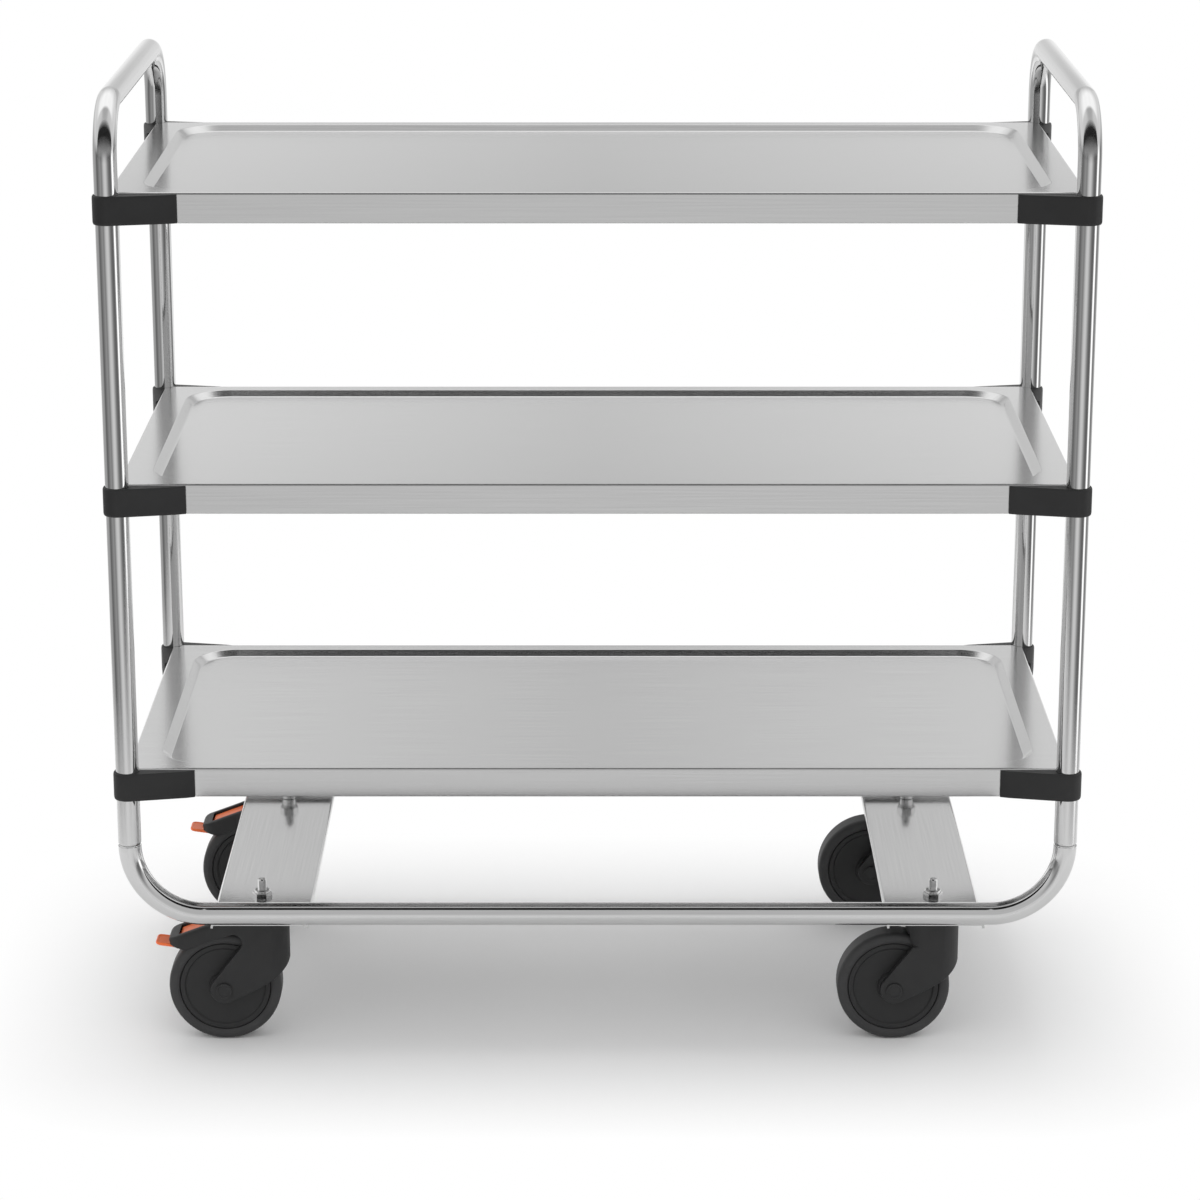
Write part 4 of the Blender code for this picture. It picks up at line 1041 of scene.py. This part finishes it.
def about_pin(points):
    """Points given about the swivel axis, moved to the pedal's own origin on its pin."""
    return [(x + PIN_REACH, z - PIN_HEIGHT) for x, z in points]


def pedal_low(x):
    """Height of the pedal plate's lower face."""
    return rim_height(x) - PEDAL_SINK - PEDAL_THICKNESS


def brake_pedal():
    """A plate in the hood's pocket, a web down its end and a dished, rising tip for the foot."""
    plate_end = -(HOOD_REACH - HOOD_END_WALL - PEDAL_END_GAP)
    plate_top = rim_height(plate_end) - PEDAL_SINK
    left = -(HOOD_REACH - HOOD_END_FOOT - PEDAL_END_GAP)
    tip_high = FORK_TOP - PEDAL_TIP_DEPTH
    slant = math.atan2(plate_end - left, plate_top - tip_high)
    web = PEDAL_THICKNESS / math.cos(slant)
    nose = PEDAL_THICKNESS / 2
    tilt = math.degrees(PEDAL_TIP_RISE)

    def tip_top(x):
        return tip_high + (left - x) * math.tan(PEDAL_TIP_RISE)

    sink = nose / math.cos(PEDAL_TIP_RISE)
    middles = [(x, tip_top(x) - sink) for x in (nose - PEDAL_REACH, left + web - nose)]
    side = [
        (-PIN_REACH, rim_height(-PIN_REACH) - PEDAL_SINK),
        (plate_end, plate_top),
        (left, tip_high),
        *arc(middles[0], nose, 90 - tilt, 270 - tilt, CORNER_STEPS),
        *arc(middles[1], nose, 270 - tilt, 360 - math.degrees(slant), CORNER_STEPS),
        (plate_end + web, pedal_low(plate_end + web)),
        (-PIN_REACH, pedal_low(-PIN_REACH)),
    ]
    half = PEDAL_WIDTH / 2
    tip_reach = PEDAL_REACH - PIN_REACH
    made = prism(about_pin(side), "Y", -PEDAL_WIDTH, PEDAL_WIDTH)
    made = boolean(made, tongue(tip_reach, PEDAL_WIDTH, PEDAL_TIP_RADIUS), "INTERSECT")
    made = boolean(made, cylinder((0, 0), PEDAL_HUB_RADIUS, "Y", -half, half), "UNION")
    bore = cylinder((0, 0), PIN_RADIUS + FORK_BORE_ROOM, "Y", -PEDAL_WIDTH, PEDAL_WIDTH)
    ends = (-HOOD_REACH, -PEDAL_REACH)
    floor_line = [(x, tip_top(x) - PEDAL_DISH_DEPTH) for x in ends]
    room = [(x, tip_top(x) + PEDAL_THICKNESS) for x in reversed(ends)]
    dish = prism(about_pin(floor_line + room), "Y", -PEDAL_WIDTH, PEDAL_WIDTH)
    rim = PEDAL_DISH_RIM
    inside = tongue(tip_reach - rim, PEDAL_WIDTH - 2 * rim, PEDAL_TIP_RADIUS - rim)
    return moulded(cut(made, bore, boolean(dish, inside, "INTERSECT")), PEDAL_VOXEL)


def brake_shoe():
    """The block under the pedal whose lower face lies round the tyre when the pedal is down."""
    axle_x = PIN_REACH - CASTER_TRAIL
    axle_z = WHEEL_RADIUS - PIN_HEIGHT
    cos, sin = math.cos(PEDAL_TRAVEL), math.sin(PEDAL_TRAVEL)
    centre = (axle_x * cos + axle_z * sin, axle_z * cos - axle_x * sin)
    radius = WHEEL_RADIUS + SHOE_TYRE_GAP
    start, end = (
        math.degrees(math.acos((-reach - centre[0]) / radius)) for reach in (SHOE_END, SHOE_START)
    )
    top_ends = (-SHOE_START - PIN_REACH, -SHOE_END - PIN_REACH)
    top = about_pin([(x, pedal_low(x) - SEAT_GAP) for x in top_ends])
    side = [*top, *arc(centre, radius, start, end, CORNER_STEPS)]
    return moulded(prism(side, "Y", -SHOE_WIDTH / 2, SHOE_WIDTH / 2), PEDAL_VOXEL)


def pedal_pin():
    half = [(0, PIN_HALF), (PIN_RADIUS, PIN_HALF), (PIN_RADIUS, 0)]
    return turned_pair(rounded(half, PIN_ROUNDING)[:-1], SMALL_TURN_STEPS)


def dress_casters():
    """Each piece is modelled about the swivel's foot, the axle or the pedal pin."""
    groups = {
        "foot": (king_bolt, swivel_race, washer, lock_nut),
        "axle": (axle, tyre, wheel_core),
        "pin": (pedal_pin, brake_pedal, brake_shoe),
    }
    meshes = {
        group: {make.__name__: mesh_of(make.__name__, make()) for make in makers}
        for group, makers in groups.items()
    }
    forks = {braked: mesh_of("fork", fork(braked), ALL_SMOOTH) for braked in (True, False)}
    for corner, (sx, sy) in CORNERS.items():
        braked = sx < 0
        x, y = sx * CASTER_X, sy * CASTER_Y
        places = {"foot": (x, y, 0), "axle": (x - CASTER_TRAIL, y, WHEEL_RADIUS)}
        if braked:
            places["pin"] = (x - PIN_REACH, y, PIN_HEIGHT)
        dress(f"{corner}_fork", forks[braked], places["foot"])
        for group, place in places.items():
            for name, mesh in meshes[group].items():
                dress(f"{corner}_{name}", mesh, place)


# Finishes


def feed(node, inputs):
    """Sets a shader node's inputs. An input is a value, or the socket that feeds it."""
    for name, value in inputs.items():
        if isinstance(value, bpy.types.NodeSocket):
            node.id_data.links.new(value, node.inputs[name])
        else:
            node.inputs[name].default_value = value


def new_node(tree, kind, inputs=None, **settings):
    made = tree.nodes.new(kind)
    for name, value in settings.items():
        setattr(made, name, value)
    feed(made, inputs or {})
    return made


def grey(level):
    return (level, level, level, 1)


def ramp(tree, factor, stops):
    """A colour ramp from (place, grey or colour) stops."""
    made = new_node(tree, "ShaderNodeValToRGB", {"Fac": factor})
    elements = made.color_ramp.elements
    while len(elements) < len(stops):
        elements.new(0.5)
    for element, (place, colour) in zip(elements, stops):
        element.position = place
        element.color = (*colour, 1) if isinstance(colour, tuple) else grey(colour)
    return made.outputs["Color"]


def noise(tree, vector, scale, detail):
    made = new_node(tree, "ShaderNodeTexNoise", {"Vector": vector, "Scale": scale, "Detail": detail})
    return made.outputs["Fac"]


def remap(tree, value, span, result=(0, 1)):
    """The value moved from one span to another, and held within it."""
    ends = zip(("From Min", "From Max", "To Min", "To Max"), (*span, *result))
    return new_node(tree, "ShaderNodeMapRange", {"Value": value, **dict(ends)}).outputs["Result"]


def arithmetic(tree, operation, first, second):
    return new_node(tree, "ShaderNodeMath", {0: first, 1: second}, operation=operation).outputs["Value"]


def relief(tree, height, strength, distance):
    inputs = {"Height": height, "Strength": strength, "Distance": distance}
    return new_node(tree, "ShaderNodeBump", inputs).outputs["Normal"]


def object_place(tree):
    return new_node(tree, "ShaderNodeTexCoord").outputs["Object"]


def new_material(name):
    """A new material and its Principled shader."""
    made = bpy.data.materials.new(name)
    made.use_nodes = True
    return made, made.node_tree.nodes["Principled BSDF"]


def steel(name, dark, light, roughness, grain, bump, anisotropy):
    """Stainless steel with a grain along U: streaks in its colour, roughness and surface."""
    made, shader = new_material(name)
    tree = made.node_tree
    uv = new_node(tree, "ShaderNodeUVMap", uv_map="grain").outputs["UV"]
    stretch, scale = grain
    stretched = new_node(tree, "ShaderNodeMapping", {"Vector": uv, "Scale": (1, stretch, 1)})
    streaks = noise(tree, stretched.outputs["Vector"], scale, STREAK_DETAIL)
    cloud = noise(tree, object_place(tree), STEEL_CLOUD_SCALE, COARSE_DETAIL)
    cloud = remap(tree, cloud, NOISE_USUAL, (-STEEL_CLOUD_SHARE, STEEL_CLOUD_SHARE))
    mixed = arithmetic(tree, "ADD", streaks, cloud)
    tangent = new_node(tree, "ShaderNodeTangent", direction_type="UV_MAP", uv_map="grain")
    feed(shader, {
        "Metallic": 1,
        "Anisotropic": anisotropy,
        "Anisotropic Rotation": GRAIN_TURN,
        "Base Color": ramp(tree, remap(tree, mixed, NOISE_USUAL), ((0, dark), (1, light))),
        "Roughness": remap(tree, mixed, NOISE_RANGE, roughness),
        "Normal": relief(tree, streaks, bump, STREAK_RELIEF),
        "Tangent": tangent.outputs["Tangent"],
    })
    return made


def moulding(name, colours, roughness, texture):
    """Moulded plastic or rubber: a fine texture, slight clouding, and convex edges painted paler as a
    highlight.

    The colours are (dark, light, painted edge highlight), and the texture is (scale, bump).
    """
    made, shader = new_material(name)
    tree = made.node_tree
    scale, bump = texture
    place = object_place(tree)
    grit = noise(tree, place, scale, COARSE_DETAIL)
    cloud = noise(tree, place, MOULDING_CLOUD_SCALE, FINE_DETAIL)
    edges = new_node(tree, "ShaderNodeNewGeometry").outputs["Pointiness"]
    one_stop = COLOUR_STOPS[:2]
    clouding = remap(tree, cloud, NOISE_USUAL, one_stop)
    # Convex edges get the paler colour from Pointiness: a painted highlight
    shade = arithmetic(tree, "ADD", clouding, remap(tree, edges, PAINTED_EDGE_HIGHLIGHT, one_stop))
    feed(shader, {
        "Specular IOR Level": MOULDING_SHINE,
        "Base Color": ramp(tree, shade, tuple(zip(COLOUR_STOPS, colours))),
        "Roughness": remap(tree, grit, NOISE_USUAL, roughness),
        "Normal": relief(tree, grit, bump, TEXTURE_RELIEF),
    })
    return made


def make_finishes():
    made = {}
    for slot, levels in GREYS.items():
        colours = [(level, level, level * GREY_BLUENESS) for level in levels]
        made[slot] = moulding(slot, colours, GREY_ROUGHNESS, GREY_TEXTURE)
    made["brake_orange"] = moulding("brake_orange", ORANGES, ORANGE_ROUGHNESS, ORANGE_TEXTURE)
    for slot, values in STEELS.items():
        made[slot] = steel(slot, *values)
    return made


# Studio


def bands(tree, azimuth, stops):
    """Levels by azimuth, which runs from 0 to 1 for -180 to 180 degrees."""
    return ramp(tree, azimuth, tuple(((degrees + 180) / 360, level) for degrees, level in stops))


def blended(tree, factor, first, second):
    """A colour between two, each a value or a socket."""
    inputs = dict(zip(MIX_INPUTS, (factor, first, second)))
    return new_node(tree, "ShaderNodeMix", inputs, data_type="RGBA").outputs[MIX_RESULT]


def make_world():
    """White to the camera, an even level for diffuse light and a banded studio in reflections."""
    world = bpy.data.worlds.new("studio")
    bpy.context.scene.world = world
    world.use_nodes = True
    world.cycles.sampling_method = "NONE"
    tree = world.node_tree
    direction = new_node(tree, "ShaderNodeTexCoord").outputs["Generated"]
    parts = new_node(tree, "ShaderNodeSeparateXYZ", {"Vector": direction}).outputs
    towards = arithmetic(tree, "MULTIPLY", parts["Y"], -1)
    turn = arithmetic(tree, "ARCTAN2", parts["X"], towards)
    azimuth = remap(tree, turn, (-math.pi, math.pi))
    low = bands(tree, azimuth, LOW_BANDS)
    high = bands(tree, azimuth, HIGH_BANDS)
    overhead = remap(tree, parts["Z"], OVERHEAD_RISE)
    behind = remap(tree, parts["Y"], BACKLIGHT_EDGE)
    above = remap(tree, parts["Z"], BACKLIGHT_RISE)
    backlight = arithmetic(tree, "MULTIPLY", behind, above)
    level = blended(tree, remap(tree, parts["Z"], HIGH_RISE), low, high)
    level = blended(tree, overhead, level, grey(OVERHEAD_LEVEL))
    level = blended(tree, backlight, level, grey(BACKLIGHT_LEVEL))
    path = new_node(tree, "ShaderNodeLightPath").outputs
    seen = blended(tree, path["Is Glossy Ray"], grey(AMBIENT_LEVEL), level)
    seen = blended(tree, path["Is Camera Ray"], seen, grey(1))
    feed(tree.nodes["Background"], {"Color": seen})


def vector_math(tree, operation, *operands):
    return new_node(tree, "ShaderNodeVectorMath", dict(enumerate(operands)), operation=operation).outputs


def mixed_shader(tree, factor, first, second):
    inputs = {0: factor, 1: first, 2: second}
    return new_node(tree, "ShaderNodeMixShader", inputs).outputs["Shader"]


def set_surface(tree, shader):
    feed(tree.nodes["Material Output"], {"Surface": shader})


def panel(name, size_x, size_y):
    """A flat panel about its own middle."""
    corners = [(sx * size_x / 2, sy * size_y / 2, 0) for sx, sy in QUARTERS]
    mesh = bpy.data.meshes.new(name)
    mesh.from_pydata(corners, [], [(0, 1, 2, 3)])
    made = new_object(name, mesh)
    return made


def make_floor():
    """A pale floor that turns white away from the trolley. Further out, metal doesn't mirror it."""
    floor = panel("floor", FLOOR_SIZE, FLOOR_SIZE)
    made, shader = new_material("floor")
    feed(shader, {"Base Color": grey(FLOOR_LEVEL), "Roughness": 1, "Specular IOR Level": 0})
    tree = made.node_tree
    path = new_node(tree, "ShaderNodeLightPath").outputs
    beside = vector_math(tree, "ABSOLUTE", object_place(tree))["Vector"]
    beside = vector_math(tree, "SUBTRACT", beside, PLAN_HALF)["Vector"]
    beside = vector_math(tree, "MAXIMUM", beside, (0, 0, 0))["Vector"]
    away = vector_math(tree, "LENGTH", beside)["Value"]
    white = arithmetic(tree, "MULTIPLY", path["Is Camera Ray"], remap(tree, away, SHADOW_FADE))
    hidden = arithmetic(tree, "MULTIPLY", path["Is Glossy Ray"], remap(tree, away, MIRROR_FADE))
    shine = new_node(tree, "ShaderNodeEmission").outputs["Emission"]
    clear = new_node(tree, "ShaderNodeBsdfTransparent").outputs["BSDF"]
    near = mixed_shader(tree, white, shader.outputs["BSDF"], shine)
    set_surface(tree, mixed_shader(tree, hidden, near, clear))
    floor.data.materials.append(made)


def mirrored_panel(name, place, size, material, tilt=math.pi / 2):
    """A panel that only reflections show, upright by default."""
    made = panel(name, *size)
    made.location = place
    made.rotation_euler = (tilt, 0, 0)
    made.data.materials.append(material)
    made.visible_camera = False
    made.visible_diffuse = False
    made.visible_shadow = False


def panel_place(tree):
    """Place on a panel: X from 0 to 1 across it, and Y from 0 to 1 upwards."""
    place = new_node(tree, "ShaderNodeTexCoord").outputs["Generated"]
    return new_node(tree, "ShaderNodeSeparateXYZ", {"Vector": place}).outputs


def dark_matte(name):
    made, shader = new_material(name)
    feed(shader, {"Base Color": grey(DARK_LEVEL), "Roughness": 1})
    return made, shader


def make_flag():
    """A dark panel before the trolley that fades out at its upper and lower edge."""
    made, shader = dark_matte("flag")
    tree = made.node_tree
    dark = ramp(tree, panel_place(tree)["Y"], FLAG_UPWARDS)
    clear = new_node(tree, "ShaderNodeBsdfTransparent").outputs["BSDF"]
    set_surface(tree, mixed_shader(tree, dark, clear, shader.outputs["BSDF"]))
    mirrored_panel("flag", FLAG_PLACE, FLAG_SIZE, made)


def make_shade():
    """A dark strip before the front rail, which mirrors it as a line."""
    mirrored_panel("shade", SHADE_PLACE, SHADE_SIZE, dark_matte("shade")[0], tilt=0)


def make_card():
    """A glowing card behind the trolley, darker in the middle, that the shelves mirror."""
    made = new_material("card")[0]
    tree = made.node_tree
    place = panel_place(tree)
    across = ramp(tree, place["X"], CARD_ACROSS)
    level = arithmetic(tree, "MULTIPLY", across, ramp(tree, place["Y"], CARD_UPWARDS))
    shine = new_node(tree, "ShaderNodeEmission", {"Strength": level}).outputs["Emission"]
    set_surface(tree, shine)
    mirrored_panel("card", CARD_PLACE, CARD_SIZE, made)


def make_softbox():
    """A soft lamp above and behind. Metal mirrors the world in its stead."""
    lamp = bpy.data.lights.new("softbox", "AREA")
    lamp.shape = "RECTANGLE"
    lamp.size, lamp.size_y = SOFTBOX_SIZE
    lamp.energy = SOFTBOX_POWER
    holder = new_object("softbox", lamp)
    holder.location = SOFTBOX_PLACE
    aim = Vector((0, 0, SHELF_HEIGHTS["middle"])) - Vector(SOFTBOX_PLACE)
    holder.rotation_euler = aim.to_track_quat("-Z", "Y").to_euler()
    holder.visible_glossy = False


def make_camera():
    data = bpy.data.cameras.new("camera")
    data.sensor_width = SENSOR_WIDTH
    data.lens = CAMERA_LENS
    camera = new_object("camera", data)
    camera.location = CAMERA_PLACE
    camera.rotation_euler = (math.pi / 2 - CAMERA_PITCH, 0, 0)
    bpy.context.scene.camera = camera


FINISHES = make_finishes()
dress_tubes()
dress_shelves()
dress_beams()
dress_casters()
make_world()
make_floor()
make_flag()
make_shade()
make_card()
make_softbox()
make_camera()
bpy.context.scene.view_settings.view_transform = "Standard"
